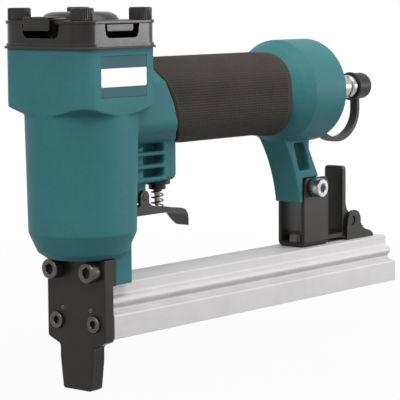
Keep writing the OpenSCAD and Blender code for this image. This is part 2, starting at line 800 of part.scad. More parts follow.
module piston() {
    color(alloy) difference() {
        translate([0, 0, piston_z0]) cylinder(r = piston_r, h = piston_h);
        translate([0, 0, piston_oring_z]) oring_groove(liner_bore_d / 2, oring_wire);
        blade_bar(run_gap, piston_z0 - 1, piston_z0 + blade_root + run_gap);
        rod_y(driver_pin_r + run_gap, -piston_r - 1, piston_r + 1, driver_pin_z);
        translate([0, 0, piston_z1 - 1.6]) cylinder(r = piston_r - 5, h = 3);
    }
}

module piston_oring() {
    color(nitrile) translate([0, 0, piston_oring_z]) oring(liner_bore_d / 2 - run_gap, oring_wire);
}

module driver_blade() {
    color(steel) difference() {
        blade_bar(0, blade_z0, piston_z0 + blade_root);
        rod_y(driver_pin_r + run_gap, -blade_t, blade_t, driver_pin_z);
    }
}

// Pin through the piston that holds the root of the blade
module driver_pin() {
    color(steel) rod_y(driver_pin_r, 1 - piston_r, piston_r - 1, driver_pin_z);
}

// Ring that opens the cylinder to the air chamber when it lifts
module head_valve() {
    spring_room = head_spring_wire / 2 + 0.4;
    pocket_r = [head_spring_r * coil_flat - spring_room, head_spring_r + spring_room];
    color(alloy) difference() {
        translate([0, 0, head_valve_z0]) cylinder(r = head_valve_r, h = head_valve_z1 - head_valve_z0);
        translate([0, 0, head_valve_z0 - 1]) cylinder(r = exhaust_r, h = head_valve_z1 - head_valve_z0 + 2);
        translate([0, 0, head_spring_z0]) difference() {
            cylinder(r = pocket_r[1], h = spring_pocket_h + 1);
            translate([0, 0, -1]) cylinder(r = pocket_r[0], h = spring_pocket_h + 3);
        }
        translate([0, 0, head_valve_z0 - 1]) difference() {
            cylinder(r = head_valve_r + 1, h = seal_t + 1);
            translate([0, 0, -1]) cylinder(r = head_valve_r - 4, h = seal_t + 3);
        }
    }
}

module head_valve_seal() {
    color(nitrile) difference() {
        translate([0, 0, head_valve_z0]) cylinder(r = head_valve_r - run_gap, h = seal_t);
        translate([0, 0, head_valve_z0 - 1]) cylinder(r = head_valve_r - 4, h = seal_t + 2);
    }
}

module head_valve_spring() {
    l = gasket_z1 - head_spring_z0 - 2 * spring_gap;
    color(steel) translate([0, 0, head_spring_z0 + spring_gap])
        coil_spring("head_valve_spring", head_spring_r, head_spring_wire, l, 4);
}

// Threaded bush that closes the valve bore and guides the stem
module valve_bushing() {
    whole_l = bushing_neck_l + bushing_flange_t + bushing_l;
    color(black) translate([0, valve_y, bushing_z0]) difference() {
        union() {
            translate([0, 0, bushing_neck_l]) cylinder(d = bushing_flange_d, h = bushing_flange_t);
            cylinder(d = bushing_neck_d, h = whole_l);
            translate([0, 0, whole_l - bushing_l - eps])
                cylinder(d = valve_bore_d - 2 * run_gap, h = bushing_l + eps);
        }
        translate([0, 0, -1]) cylinder(r = stem_r + run_gap, h = whole_l + 2);
    }
}

module valve_stem() {
    ball_z = stem_tip_z + stem_tip_r;
    cone_l = 2;
    cone_z1 = bushing_z0 - 0.6;
    top_z = stem_disc_z0 + stem_disc_t + stem_top_l;
    color(cream) translate([0, valve_y, 0]) {
        translate([0, 0, ball_z]) sphere(r = stem_tip_r);
        translate([0, 0, ball_z]) cylinder(r = stem_tip_r, h = cone_z1 - cone_l - ball_z + eps);
        translate([0, 0, cone_z1 - cone_l]) cylinder(r1 = stem_tip_r, r2 = stem_r, h = cone_l + eps);
        translate([0, 0, cone_z1]) cylinder(r = stem_r, h = top_z - cone_z1);
        translate([0, 0, stem_disc_z0]) cylinder(r = stem_disc_r, h = stem_disc_t);
    }
}

module stem_oring() {
    color(nitrile) translate([0, valve_y, stem_disc_z0 - stem_oring_wire / 2])
        oring(stem_r + run_gap + stem_oring_wire, stem_oring_wire);
}

module valve_spring() {
    z0 = stem_disc_z0 + stem_disc_t + spring_gap;
    l = block_z0 + valve_bore_l - spring_gap - z0;
    color(steel) translate([0, valve_y, z0]) coil_spring("valve_spring", valve_spring_r, spring_wire, l, 3);
}

// Bent sheet lever: two cheeks, a web under the stem and a thick finger end
// Finger end of the trigger: the web runs on and bends down to a round tip
module trigger_finger() {
    slope = atan2(web_z1 - web_fall - finger_z, finger_y - bend_y);
    tip_z0 = finger_z - trigger_t * cos(slope);
    intersection() {
        side_plate(finger_w) polygon([[valve_y, web_z0], [valve_y, web_z1], [bend_y, web_z1 - web_fall],
            [finger_y, finger_z], [finger_y - trigger_t * sin(slope), tip_z0],
            [bend_y - trigger_t * tan(slope / 2), web_z0 - web_fall]]);
        union() {
            bar(finger_w, valve_y - 1, finger_y - finger_w / 2, tip_z0 - 1, web_z1 + 1);
            translate([0, finger_y - finger_w / 2, tip_z0 - 1])
                cylinder(d = finger_w, h = web_z1 - tip_z0 + 2);
        }
    }
}

module trigger() {
    cheek = trigger_w - 2 * trigger_t;
    color(black) difference() {
        union() {
            side_plate(trigger_w) polygon([[trigger_y0, web_z0], [cheek_y1, web_z0], [cheek_y1, web_z1],
                [valve_y - 1, web_z1 + 0.3], [pivot_y + ear_r, web_z1 + 2.7], [pivot_y + ear_r, pivot_z],
                [pivot_y - ear_r, pivot_z], [pivot_y - ear_r, web_z1 + 2.7], [trigger_y0, web_z1 + 1]]);
            trigger_finger();
            rod_x(ear_r, trigger_w, pivot_y, pivot_z);
        }
        bar(cheek, trigger_y0 - 1, valve_y + 4, web_z1, pivot_z + ear_r + 1);
        rod_x(trigger_pin_d / 2 + run_gap, trigger_w + 2, pivot_y, pivot_z);
    }
}

module trigger_pin() {
    color(steel) rod_x(trigger_pin_d / 2, trigger_w + 0.4, pivot_y, pivot_z);
}

module trigger_spring() {
    color(steel) translate([0, valve_y, web_z1 + spring_gap])
        coil_spring("trigger_spring", trigger_spring_r, spring_wire, bushing_z0 - web_z1 - 2 * spring_gap, 3);
}

// Outline of the nose: a wide plate that steps in to the tongue
module nose_outline() {
    half = [[tip_w / 2, 0], [tongue_w / 2, tongue_taper_z], [tongue_w / 2, plate_z0],
        [plate_w / 2, plate_z0 + plate_corner], [plate_w / 2, barrel_z0]];
    polygon(concat(half, [for (i = [len(half) - 1 : -1 : 0]) [-half[i][0], half[i][1]]]));
}

// Holes for the nose screws and the dowels
module nose_holes(y0, y1) {
    for (x = [-1, 1]) {
        rod_y(bolt_d / 2 + run_gap, y0, y1, upper_screw_z, x * nose_screw_x);
        rod_y(screw_d / 2 + run_gap, y0, y1, lower_screw_z, x * nose_screw_x);
        rod_y(dowel_d / 2 + run_gap, y0, y1, dowel_z, x * dowel_x);
    }
}

module nose_plate() {
    color(black) difference() {
        front_plate(plate_y0, guide_y0) nose_outline();
        bar(blade_channel_w, -guide_y0, guide_y0 + 1, -1, barrel_z0 + 1);
        nose_holes(plate_y0 - 1, guide_y0 + 1);
        for (x = [-1, 1]) rod_y(head_d(screw_d) / 2 + slide_gap, plate_y0 - 1, plate_y0 + screw_sink,
            lower_screw_z, x * nose_screw_x);
    }
}

module guide_plate() {
    color(black) difference() {
        front_plate(guide_y0, guide_y1) nose_outline();
        bar(2 * channel_r, guide_y0 - 1, guide_y1 + 1, mag_z0 + lip_t, channel_z1);
        nose_holes(guide_y0 - 1, guide_y1 + 1);
    }
}

// Screws whose heads face forward
module nose_screws(d, l, y, z) {
    for (x = [-1, 1]) translate([x * nose_screw_x, y, z]) rotate([90, 0, 0]) cap_screw(d, l);
}

module upper_nose_screws() {
    color(black) nose_screws(bolt_d, plate_t + guide_t + thread_reach, plate_y0, upper_screw_z);
}

module lower_nose_screws() {
    seat_y = plate_y0 + screw_sink;
    color(black) nose_screws(screw_d, mag_y0 + thread_reach - seat_y, seat_y, lower_screw_z);
}

module nose_dowels() {
    color(steel) for (x = [-1, 1]) rod_y(dowel_d / 2, plate_y0, guide_y1, dowel_z, x * dowel_x);
}

// Places of the screws that hold the bracket and the latch on the magazine
function base_screw_places() = [[bracket_y0 + screw_inset, mag_z1 + bracket_t],
    [bracket_y1 - screw_inset, mag_z1 + bracket_t], [latch_screw_y, mag_z1 + latch_base_t]];

// Clearance holes for those screws, from a height down through the wall below it
module base_screw_holes(z0, z1) {
    for (p = base_screw_places()) translate([0, p[0], z0]) cylinder(r = screw_d / 2 + run_gap, h = z1 - z0);
}

// Extruded body: the staples run in its channel, and the lower nose screws hold it
module magazine_body() {
    top_r = mag_top_w / 2;
    color(alloy) difference() {
        union() {
            bar(skirt_w, mag_y0, mag_y1, mag_z0, skirt_z1);
            bar(mag_top_w, mag_y0, mag_y1, skirt_z1 - eps, mag_z1);
            for (x = [-1, 1]) rod_y(bead_r, mag_y0, mag_y1, bead_z, x * (top_r + bead_r / 2));
        }
        bar(2 * channel_r, mag_y0 - 1, mag_y1 + 1, mag_z0 - 1, channel_z1);
        bar(2 * (flange_r + slide_gap), mag_y0 - 1, mag_y1 + 1, mag_z0 + lip_t,
            rail_z0 + flange_t + groove_gap);
        for (x = [-1, 1]) {
            rod_y(screw_d / 2 + run_gap, mag_y0 - 1, mag_y0 + thread_reach + thread_relief, lower_screw_z,
                x * nose_screw_x);
            translate([x * (skirt_w / 2 - hollow_wall - hollow_w / 2), 0, 0])
                bar(hollow_w, mag_y0 - 1, mag_y1 + 1, mag_z0 + hollow_wall, skirt_z1 - hollow_wall);
        }
        base_screw_holes(channel_z1 - 1, mag_z1 + 1);
        bar(tooth_w + 1, lever_foot_y - tooth_swing, lever_foot_y + tooth_l + 1, channel_z1 - 1, mag_z1 + 1);
    }
}

// Inner rail that the staples straddle: it slides out to the rear for loading
module staple_rail() {
    catch_y = lever_foot_y - 2;
    color(steel) difference() {
        union() {
            bar(2 * rail_r, rail_y0, rail_y1, rail_z0, rail_z1);
            bar(2 * flange_r, rail_y0, rail_y1, rail_z0, rail_z0 + flange_t);
            bar(2 * rail_r, catch_y - 3, catch_y, rail_z1 - eps, rail_z1 + catch_h);
        }
        bar(2 * rail_inner_r, rail_y0 - 1, rail_y1 + 1, rail_z0 - 1, rail_z1 - rail_wall);
        bar(rail_slot_w, rail_y0 - 1, catch_y - 6, rail_z1 - rail_wall - 1, rail_z1 + 1);
    }
}

module rail_end_block() {
    color(black) difference() {
        bar(2 * rail_inner_r, rail_y1 - end_block_l, rail_y1, rail_z0, rail_z1 - rail_wall);
        rod_y(rod_r + run_gap, rail_y1 - end_block_l - 1, rail_y1 - 2, rod_z);
    }
}

module spring_rod() {
    color(steel) rod_y(rod_r, pusher_y0 + 1, rail_y1 - 2, rod_z);
}

// Saddle on the rail, joined through the rail's slot to a block on the spring rod
module pusher() {
    y0 = pusher_y0 + 1;
    y1 = pusher_y0 + pusher_l;
    inner_r = rail_r + slide_gap;
    roof_z0 = rail_z1 + slide_gap;
    neck_z0 = rail_z1 - rail_wall - slide_gap;
    color(steel) difference() {
        union() {
            difference() {
                bar(2 * (inner_r + cheek_t), pusher_y0, y1, rail_z0 + flange_t + slide_gap,
                    rail_z1 + catch_h);
                bar(2 * inner_r, pusher_y0 - 1, y1 + 1, rail_z0, roof_z0);
            }
            bar(rail_slot_w - 2 * slide_gap, y0, y1, neck_z0 - eps, roof_z0 + eps);
            bar(2 * (rail_inner_r - slide_gap), y0, y1, rod_z - 4, neck_z0);
        }
        rod_y(rod_r + slide_gap, pusher_y0 - 1, y1 + 1, rod_z);
    }
}

module pusher_spring() {
    y0 = pusher_y0 + pusher_l + spring_gap;
    y1 = rail_y1 - end_block_l - spring_gap;
    color(steel) translate([0, y0, rod_z]) rotate([-90, 0, 0])
        coil_spring("pusher_spring", push_spring_r, push_spring_wire, y1 - y0, 28);
}

// U-bracket of bent sheet: its floor lies on the magazine and its sides hold the leg
module rear_bracket() {
    inner_w = bracket_w - 2 * bracket_t;
    color(black) difference() {
        intersection() {
            translate([0, bracket_y0, mag_z1 + bracket_h]) rotate([-90, 0, 0])
                rounded_box(bracket_w, 2 * bracket_h, bracket_l, bracket_bend);
            side_plate(bracket_w + 2) polygon([[bracket_y0, mag_z1 - 1], [bracket_y1, mag_z1 - 1],
                [bracket_y1, bracket_z1 - bracket_corner], [bracket_y1 - bracket_corner, bracket_z1],
                [bracket_y0 + bracket_corner, bracket_z1], [bracket_y0, bracket_z1 - bracket_corner]]);
        }
        translate([0, bracket_y0 - 1, mag_z1 + bracket_h]) rotate([-90, 0, 0])
            rounded_box(inner_w, 2 * (bracket_h - bracket_t), bracket_l + 2, bracket_bend - bracket_t);
        rod_x(bolt_d / 2 + run_gap, bracket_w + 2, bracket_bolt_y, bracket_bolt_z);
        base_screw_holes(mag_z1 - 1, mag_z1 + bracket_t + 1);
    }
}

module bracket_bolt() {
    seat_x = bracket_w / 2 + washer_t;
    color(steel) translate([seat_x, bracket_bolt_y, bracket_bolt_z]) rotate([0, 90, 0])
        cap_screw(bolt_d, 2 * seat_x + nut_h);
}

module bracket_washers() {
    color(steel) difference() {
        rod_x(washer_r, bracket_w + 2 * washer_t, bracket_bolt_y, bracket_bolt_z);
        rod_x(washer_r + 1, bracket_w, bracket_bolt_y, bracket_bolt_z);
        rod_x(bolt_d / 2 + run_gap, bracket_w + 10, bracket_bolt_y, bracket_bolt_z);
    }
}

module bracket_nut() {
    end_x = bracket_w / 2 + washer_t + nut_h;
    color(steel) translate([-end_x, bracket_bolt_y, bracket_bolt_z]) rotate([0, 90, 0]) difference() {
        cylinder(d = nut_af / cos(30), h = nut_h, $fn = 6);
        translate([0, 0, -1]) cylinder(r = bolt_d / 2 + run_gap, h = nut_h + 2);
    }
}

module magazine_screws() {
    color(black) for (p = base_screw_places()) translate([0, p[0], p[1]]) cap_screw(screw_d, base_screw_l);
}

// Base plate with two ears that carry the latch pin
module latch_bracket() {
    color(black) difference() {
        union() {
            side_plate(latch_bracket_w) polygon([[latch_base_y0, mag_z1], [latch_base_y1, mag_z1],
                [latch_base_y1, mag_z1 + latch_base_t], [latch_y + latch_ear_r, latch_z - 0.4],
                [latch_y - latch_ear_r, latch_z], [latch_base_y0, latch_z - 1.6]]);
            rod_x(latch_ear_r, latch_bracket_w, latch_y, latch_z);
        }
        bar(lever_w + 2 * slide_gap, latch_base_y0 - 1, latch_base_y1 + 1, mag_z1 + latch_base_t,
            latch_z + latch_ear_r + 1);
        rod_x(latch_pin_d / 2 + run_gap, latch_bracket_w + 2, latch_y, latch_z);
        base_screw_holes(mag_z1 - 1, mag_z1 + latch_base_t + 1);
    }
}

// Upright thumb lever: pulled back, it lifts the tooth on its foot out of the rail
module latch_lever() {
    color(black) difference() {
        union() {
            side_plate(lever_w) polygon([[lever_foot_y, lever_z0], [lever_y1, lever_z0],
                [latch_y, latch_z - lever_hub_r], [lever_tail_y, latch_z - lever_hub_r],
                [lever_tail_y, latch_z - 0.8], [latch_y + 1.6, latch_z + 2.4],
                [latch_y, latch_z + lever_hub_r], [lever_y1 + 1.2, latch_z + 5.2],
                [lever_y1, latch_z + 8.4], [lever_y1, lever_z1], [lever_y0, lever_z1],
                [lever_y0, lever_z0 + lever_foot_t], [lever_foot_y, lever_z0 + lever_foot_t]]);
            rod_x(lever_hub_r, lever_w, latch_y, latch_z);
            bar(tooth_w, lever_foot_y, lever_foot_y + tooth_l, tooth_z0, lever_z0 + eps);
        }
        rod_x(latch_pin_d / 2 + run_gap, lever_w + 2, latch_y, latch_z);
    }
}

module latch_pin() {
    color(steel) rod_x(latch_pin_d / 2, latch_bracket_w + 0.6, latch_y, latch_z);
}

module latch_spring() {
    z0 = mag_z1 + latch_base_t + spring_gap;
    color(steel) translate([0, latch_spring_y, z0])
        coil_spring("latch_spring", latch_spring_r, spring_wire, latch_z - lever_hub_r - spring_gap - z0, 3);
}

// Threaded cap that closes the drum and takes the air plug
module tail_cap() {
    spanner_x = (tail_r + hub_r[0]) / 2;
    color(teal) difference() {
        union() {
            rod_y(tail_r, tail_y0, drum_y1, handle_z);
            cone_y(hub_r[0], hub_r[1], drum_y1 - eps, drum_y1 + hub_l, handle_z);
        }
        rod_y(plug_thread_d / 2 + run_gap, tail_y0 - 1, drum_y1 + hub_l + 1, handle_z);
        translate([0, tail_oring_y, handle_z]) rotate([-90, 0, 0]) oring_groove(tail_r, oring_wire);
        for (x = [-1, 1]) rod_y(1.4, drum_y1 - 4, drum_y1 + 1, handle_z, x * spanner_x);
    }
}

module tail_oring() {
    color(nitrile) translate([0, tail_oring_y, handle_z]) rotate([-90, 0, 0]) oring(tail_r, oring_wire);
}

// Quick-connect plug: thread, hexagon, body, groove, collar and nipple
module air_plug() {
    color(steel) difference() {
        union() {
            rod_y(plug_thread_d / 2, plug_y0, drum_y1 + hub_l, handle_z);
            rod_y(neck_r, drum_y1 + hub_l - eps, neck_y1 + eps, handle_z);
            translate([0, neck_y1, handle_z]) rotate([-90, 0, 0])
                cylinder(d = plug_hex / cos(30), h = hex_y1 - neck_y1, $fn = 6);
            rod_y(plug_d / 2, hex_y1 - eps, body_y1, handle_z);
            rod_y(nipple_d / 2 - 0.4, body_y1 - eps, body_y1 + groove_l + eps, handle_z);
            rod_y(plug_d / 2, body_y1 + groove_l, nipple_y0, handle_z);
            rod_y(nipple_d / 2, nipple_y0 - eps, nipple_y1, handle_z);
        }
        rod_y(air_bore_r, plug_y0 - 1, nipple_y1 + 1, handle_z);
    }
}

module dust_cap() {
    r = dust_cap_d / 2;
    rim = 1.2;
    color(rubber_black) difference() {
        union() {
            rod_y(r, dust_cap_y0, dust_cap_y1 - rim, handle_z);
            cone_y(r, r - rim, dust_cap_y1 - rim - eps, dust_cap_y1, handle_z);
            bar(strap_w, strap_y1 - strap_t / 2, strap_y1 + strap_t / 2, strap_z1, handle_z - r / 2);
        }
        rod_y(nipple_d / 2 + dust_gap, dust_cap_y0 - 1, nipple_y1 + dust_gap, handle_z);
    }
}

// Rubber strap: a ring round the plug's neck and a band that hangs in half an ellipse to the dust cap
module cap_strap() {
    a = (strap_y1 - strap_y0) / 2;
    mid_y = (strap_y0 + strap_y1) / 2;
    side_l = 3.6;
    hang_z = strap_z1 - side_l;
    b = hang_z - (handle_z - strap_drop);
    h = strap_t / 2;
    turns = [for (i = [0 : strap_steps]) i * 180 / strap_steps];
    outer = [for (t = turns) [mid_y - (a + h) * cos(t), hang_z - (b + h) * sin(t)]];
    inner = [for (t = turns) [mid_y + (a - h) * cos(t), hang_z - (b - h) * sin(t)]];
    color(rubber_black) {
        side_plate(strap_w) polygon(concat([[strap_y0 - h, handle_z - neck_r - 1]], outer,
            [[strap_y1 + h, strap_z1], [strap_y1 - h, strap_z1]], inner,
            [[strap_y0 + h, handle_z - neck_r - 1]]));
        difference() {
            rod_y(neck_r + ring_w, strap_y0 - ring_t / 2, strap_y0 + ring_t / 2, handle_z);
            rod_y(neck_r + run_gap, strap_y0 - ring_t, strap_y0 + ring_t, handle_z);
        }
    }
}

housing();
grip_sleeve();
label_plate();
cylinder_cap();
cap_gasket();
exhaust_cover();
exhaust_deflector();
cap_bolts();
cylinder_liner();
liner_orings();
bumper();
piston();
piston_oring();
driver_blade();
driver_pin();
head_valve();
head_valve_seal();
head_valve_spring();
valve_bushing();
valve_stem();
stem_oring();
valve_spring();
trigger();
trigger_pin();
trigger_spring();
nose_plate();
guide_plate();
upper_nose_screws();
lower_nose_screws();
nose_dowels();
magazine_body();
staple_rail();
rail_end_block();
spring_rod();
pusher();
pusher_spring();
rear_bracket();
bracket_bolt();
bracket_washers();
bracket_nut();
magazine_screws();
latch_bracket();
latch_lever();
latch_pin();
latch_spring();
tail_cap();
tail_oring();
air_plug();
dust_cap();
cap_strap();
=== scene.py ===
# %% [markdown]
# # An air stapler, dressed around its CAD frame
# The CAD model is the frame: it fixes every size and every joint. In this lesson each visible piece gets
# the shape and the finish of the real tool. Everything is modelled at bench scale, one unit to a
# millimetre, because the modelling operators work best at that size. Each finished piece is then brought
# down to metres.

# %% Load the frame
import math

import bpy
from mathutils import Matrix, Vector


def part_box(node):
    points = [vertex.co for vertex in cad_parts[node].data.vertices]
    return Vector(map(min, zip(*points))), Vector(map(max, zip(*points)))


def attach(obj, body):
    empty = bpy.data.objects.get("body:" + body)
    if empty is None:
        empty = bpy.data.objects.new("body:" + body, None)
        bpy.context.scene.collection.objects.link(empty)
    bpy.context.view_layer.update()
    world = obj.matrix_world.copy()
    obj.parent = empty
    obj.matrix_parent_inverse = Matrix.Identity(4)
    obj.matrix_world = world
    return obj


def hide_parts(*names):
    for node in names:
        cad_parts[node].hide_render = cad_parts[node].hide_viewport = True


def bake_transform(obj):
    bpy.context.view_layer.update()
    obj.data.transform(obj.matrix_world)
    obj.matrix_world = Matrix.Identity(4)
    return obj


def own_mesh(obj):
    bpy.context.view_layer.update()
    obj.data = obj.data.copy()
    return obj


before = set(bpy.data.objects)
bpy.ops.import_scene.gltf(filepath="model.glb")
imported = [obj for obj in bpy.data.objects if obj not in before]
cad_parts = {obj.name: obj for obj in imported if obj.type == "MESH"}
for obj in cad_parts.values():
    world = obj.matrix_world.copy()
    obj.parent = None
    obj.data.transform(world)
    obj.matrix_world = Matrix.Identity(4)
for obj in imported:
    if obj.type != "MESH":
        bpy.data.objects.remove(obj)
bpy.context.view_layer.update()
MM = 0.001

# %% [markdown]
# ## A small bench of tools
# Operators act on whatever is selected, so every helper first selects one object alone. Faces and edges are
# picked by a test, mostly on where they are.


# %% Selecting and applying
MERGE = 1e-4


def deselect():
    """Leaves nothing selected."""
    bpy.ops.object.select_all(action="DESELECT")


def take(obj):
    """Selects one object and makes it the active one."""
    deselect()
    obj.select_set(True)
    bpy.context.view_layer.objects.active = obj
    return obj


def edit(obj, kind="VERT", pick=None):
    """Opens a piece in edit mode with the vertices, edges or faces that a test chooses, or with all."""
    take(obj)
    mesh = obj.data
    items = {"VERT": mesh.vertices, "EDGE": mesh.edges, "FACE": mesh.polygons}[kind]
    for group in (mesh.vertices, mesh.edges, mesh.polygons):
        group.foreach_set("select", [False] * len(group))
    for item in items:
        if pick is None:
            item.select = True
        elif kind == "EDGE":
            item.select = bool(pick(*[mesh.vertices[i].co for i in item.vertices]))
        elif kind == "FACE":
            item.select = bool(pick(item))
        else:
            item.select = bool(pick(item.co))
    bpy.context.tool_settings.mesh_select_mode = [kind == each for each in ("VERT", "EDGE", "FACE")]
    bpy.ops.object.mode_set(mode="EDIT")


def leave():
    """Goes back to object mode."""
    bpy.ops.object.mode_set(mode="OBJECT")


def modify(obj, kind, **settings):
    """Adds a modifier, sets it and applies it at once."""
    take(obj)
    modifier = obj.modifiers.new(kind.lower(), kind)
    for key, value in settings.items():
        setattr(modifier, key, value)
    bpy.ops.object.modifier_apply(modifier=modifier.name)


def named(name):
    """Names the active object and its mesh."""
    obj = bpy.context.object
    obj.name = obj.data.name = name
    return obj


def outward(obj):
    """Merges doubles and turns every face outwards."""
    edit(obj)
    bpy.ops.mesh.remove_doubles(threshold=MERGE)
    bpy.ops.mesh.normals_make_consistent(inside=False)
    leave()
    return obj


def joined(name, *objs):
    """Joins pieces into one object."""
    take(objs[0])
    for obj in objs:
        obj.select_set(True)
    bpy.ops.object.join()
    return named(name)


def smooth(obj, degrees):
    """Shades a piece smooth, except across edges that turn by more than an angle."""
    take(obj)
    bpy.ops.object.shade_smooth_by_angle(angle=math.radians(degrees))
    return obj


# %% [markdown]
# ## Making blanks
# Most metal parts start in one of three ways: turned on a lathe, cut from plate to an outline, or sawn from
# bar. A turned blank is a disc that is extruded and resized along its profile. A plate is a disc whose rim
# is moved to the outline and then extruded. A blank that isn't upright is laid along its axis at the end.


# %% Turned blanks
ALONG = {
    "Z": (0, 0, 0),
    "Y": (-math.pi / 2, 0, 0),
    "-Y": (math.pi / 2, 0, 0),
    "X": (0, math.pi / 2, 0),
}


def lay(obj, axis, at):
    """Turns a blank from Z to its axis, moves it to its place and applies both."""
    take(obj)
    obj.rotation_euler = ALONG[axis]
    obj.location = at
    bpy.ops.object.transform_apply(location=True, rotation=True, scale=True)
    return obj


def lathe(name, profile, sides, axis, at, solid):
    """A circle, filled for a solid, extruded and resized along (radius, height) steps."""
    deselect()
    r, z = profile[0]
    fill = "NGON" if solid else "NOTHING"
    bpy.ops.mesh.primitive_circle_add(vertices=sides, radius=r, fill_type=fill, location=(0, 0, z))
    obj = named(name)
    bpy.ops.object.transform_apply(location=True)
    edit(obj, "VERT" if solid else "EDGE")
    extrude = bpy.ops.mesh.extrude_region_move if solid else bpy.ops.mesh.extrude_edges_move
    for r1, z1 in profile[1:]:
        extrude(TRANSFORM_OT_translate={"value": (0, 0, z1 - z)})
        k = r1 / r
        bpy.ops.transform.resize(value=(k, k, 1), center_override=(0, 0, z1))
        r, z = r1, z1
    leave()
    return lay(outward(obj), axis, at)


def turned(name, profile, sides, axis="Z", at=(0, 0, 0)):
    """A solid of revolution from (radius, height) steps."""
    return lathe(name, profile, sides, axis, at, True)


def tube(name, profile, sides, axis, at):
    """A ring from a closed profile of (radius, height) steps."""
    return lathe(name, profile + profile[:1], sides, axis, at, False)


def rod(name, r, low, high, sides, axis="Z", at=(0, 0, 0)):
    """A plain rod between two heights."""
    return turned(name, [(r, low), (r, high)], sides, axis, at)


# %% Cut and sawn blanks
def cut_plate(name, outline, depth, plane, start):
    """A plate cut to an outline in a plane, and `depth` thick from `start` along the third axis."""
    deselect()
    bpy.ops.mesh.primitive_circle_add(vertices=len(outline), radius=1, fill_type="NGON")
    obj = named(name)
    place = {
        "YZ": lambda u, v: (start, u, v),
        "XZ": lambda u, v: (u, start, v),
        "XY": lambda u, v: (u, v, start),
    }[plane]
    for vertex, (u, v) in zip(obj.data.vertices, outline):
        vertex.co = place(u, v)
    edit(obj)
    way = {"YZ": (depth, 0, 0), "XZ": (0, depth, 0), "XY": (0, 0, depth)}[plane]
    bpy.ops.mesh.extrude_region_move(TRANSFORM_OT_translate={"value": way})
    leave()
    return outward(obj)


def bar(name, low, high):
    """A bar sawn to size between two corners."""
    deselect()
    bpy.ops.mesh.primitive_cube_add(size=1)
    obj = named(name)
    obj.location = [(a + b) / 2 for a, b in zip(low, high)]
    obj.scale = [b - a for a, b in zip(low, high)]
    bpy.ops.object.transform_apply(location=True, rotation=True, scale=True)
    return obj


def side_bar(name, side, near, far, low, high):
    """A bar on one side of the middle, between two distances from it and two (y, z) corners."""
    x0, x1 = sorted((side * near, side * far))
    return bar(name, (x0, *low), (x1, *high))


# %% Rounding and cutting
def running(axis, least=1.0):
    """A test for edges that run along an axis."""
    i = "xyz".index(axis)
    return lambda a, b: abs(a[i] - b[i]) > least


def round_edges(obj, radius, pick, segments):
    """Bevels the edges that a test on their two ends chooses."""
    edit(obj, "EDGE", pick)
    bpy.ops.mesh.bevel(offset=radius, segments=segments, affect="EDGES")
    leave()
    return obj


def cut(obj, *tools, operation="DIFFERENCE"):
    """Cuts tools out of a piece, and takes the tools away."""
    for tool in tools:
        modify(obj, "BOOLEAN", operation=operation, solver="EXACT", object=tool)
        bpy.data.objects.remove(tool)
    return obj


def arc(centre, radius, start, end, steps):
    """Points on an arc, angles in degrees."""
    turns = [math.radians(start + (end - start) * i / steps) for i in range(steps + 1)]
    return [(centre[0] + radius * math.cos(t), centre[1] + radius * math.sin(t)) for t in turns]


# %% [markdown]
# ## Softened edges
# No real edge is perfectly sharp, and the thin bright line along a rounded edge is most of what makes metal
# look like metal. A CAD node that already has the right form is copied, its loose triangles are merged into
# whole faces, and a narrow bevel goes round its edges. The CAD node itself is never touched. `finish`
# brings a piece to metres, and says which body it rides on and which CAD nodes it stands for.


# %% Softening and finishing
def soften(obj, width, segments=2, angle=34):
    """Bevels every edge that turns by more than an angle, and shades the piece."""
    modify(obj, "BEVEL", width=width, segments=segments, limit_method="ANGLE",
           angle_limit=math.radians(angle), miter_outer="MITER_ARC", use_clamp_overlap=True)
    smooth(obj, 40)
    modify(obj, "WEIGHTED_NORMAL", keep_sharp=True)
    return obj


def copied(node, name, width=0.0, segments=2):
    """A copy of a CAD node at bench scale, softened if a width is given."""
    deselect()
    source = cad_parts[node]
    obj = bpy.data.objects.new(name, source.data.copy())
    bpy.context.scene.collection.objects.link(obj)
    obj.data.materials.clear()
    take(obj)
    obj.scale = (1 / MM, 1 / MM, 1 / MM)
    bpy.ops.object.transform_apply(scale=True)
    edit(obj)
    bpy.ops.mesh.remove_doubles(threshold=1e-3)
    bpy.ops.mesh.dissolve_limited(angle_limit=math.radians(0.6))
    leave()
    return soften(obj, width, segments) if width else obj


def finish(obj, body, material, slot, *nodes):
    """Brings a piece to metres, paints it, and ties it to its body and its CAD nodes."""
    take(obj)
    obj.scale = (MM, MM, MM)
    bpy.ops.object.transform_apply(location=True, rotation=True, scale=True)
    obj.data.materials.clear()
    obj.data.materials.append(material)
    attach(obj, body)
    if nodes:
        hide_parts(*nodes)
    print(obj.name, "faces:", len(obj.data.polygons), "on", body)


# %% [markdown]
# ## Finishes
# Each finish is a shader whose colour, roughness and bump vary a little, at the size of the real grain: the
# skin of sprayed enamel, the bite of a sand-cast cap, the drawn lines of an extrusion. The pattern sits on
# Object coordinates, in metres, so a scale of 1000 gives grains of about a millimetre. Edges are lighter
# where the Bevel node tells that the surface turns: partly wear, partly a painted highlight.


# %% Colours and nodes
def srgb(code):
    """Linear colour from a six-digit colour code."""
    parts = [int(code[i : i + 2], 16) / 255 for i in (0, 2, 4)]
    return [c / 12.92 if c <= 0.04045 else ((c + 0.055) / 1.055) ** 2.4 for c in parts] + [1.0]


def set_sockets(node, sockets):
    """Sets a node's sockets, whose names have a low line for each space."""
    for key, value in sockets.items():
        node.inputs[key.replace("_", " ")].default_value = value


def add_node(tree, kind, operation=None, **sockets):
    """Adds a shader node and sets its sockets."""
    node = tree.nodes.new("ShaderNode" + kind)
    if operation:
        node.operation = operation
    set_sockets(node, sockets)
    return node


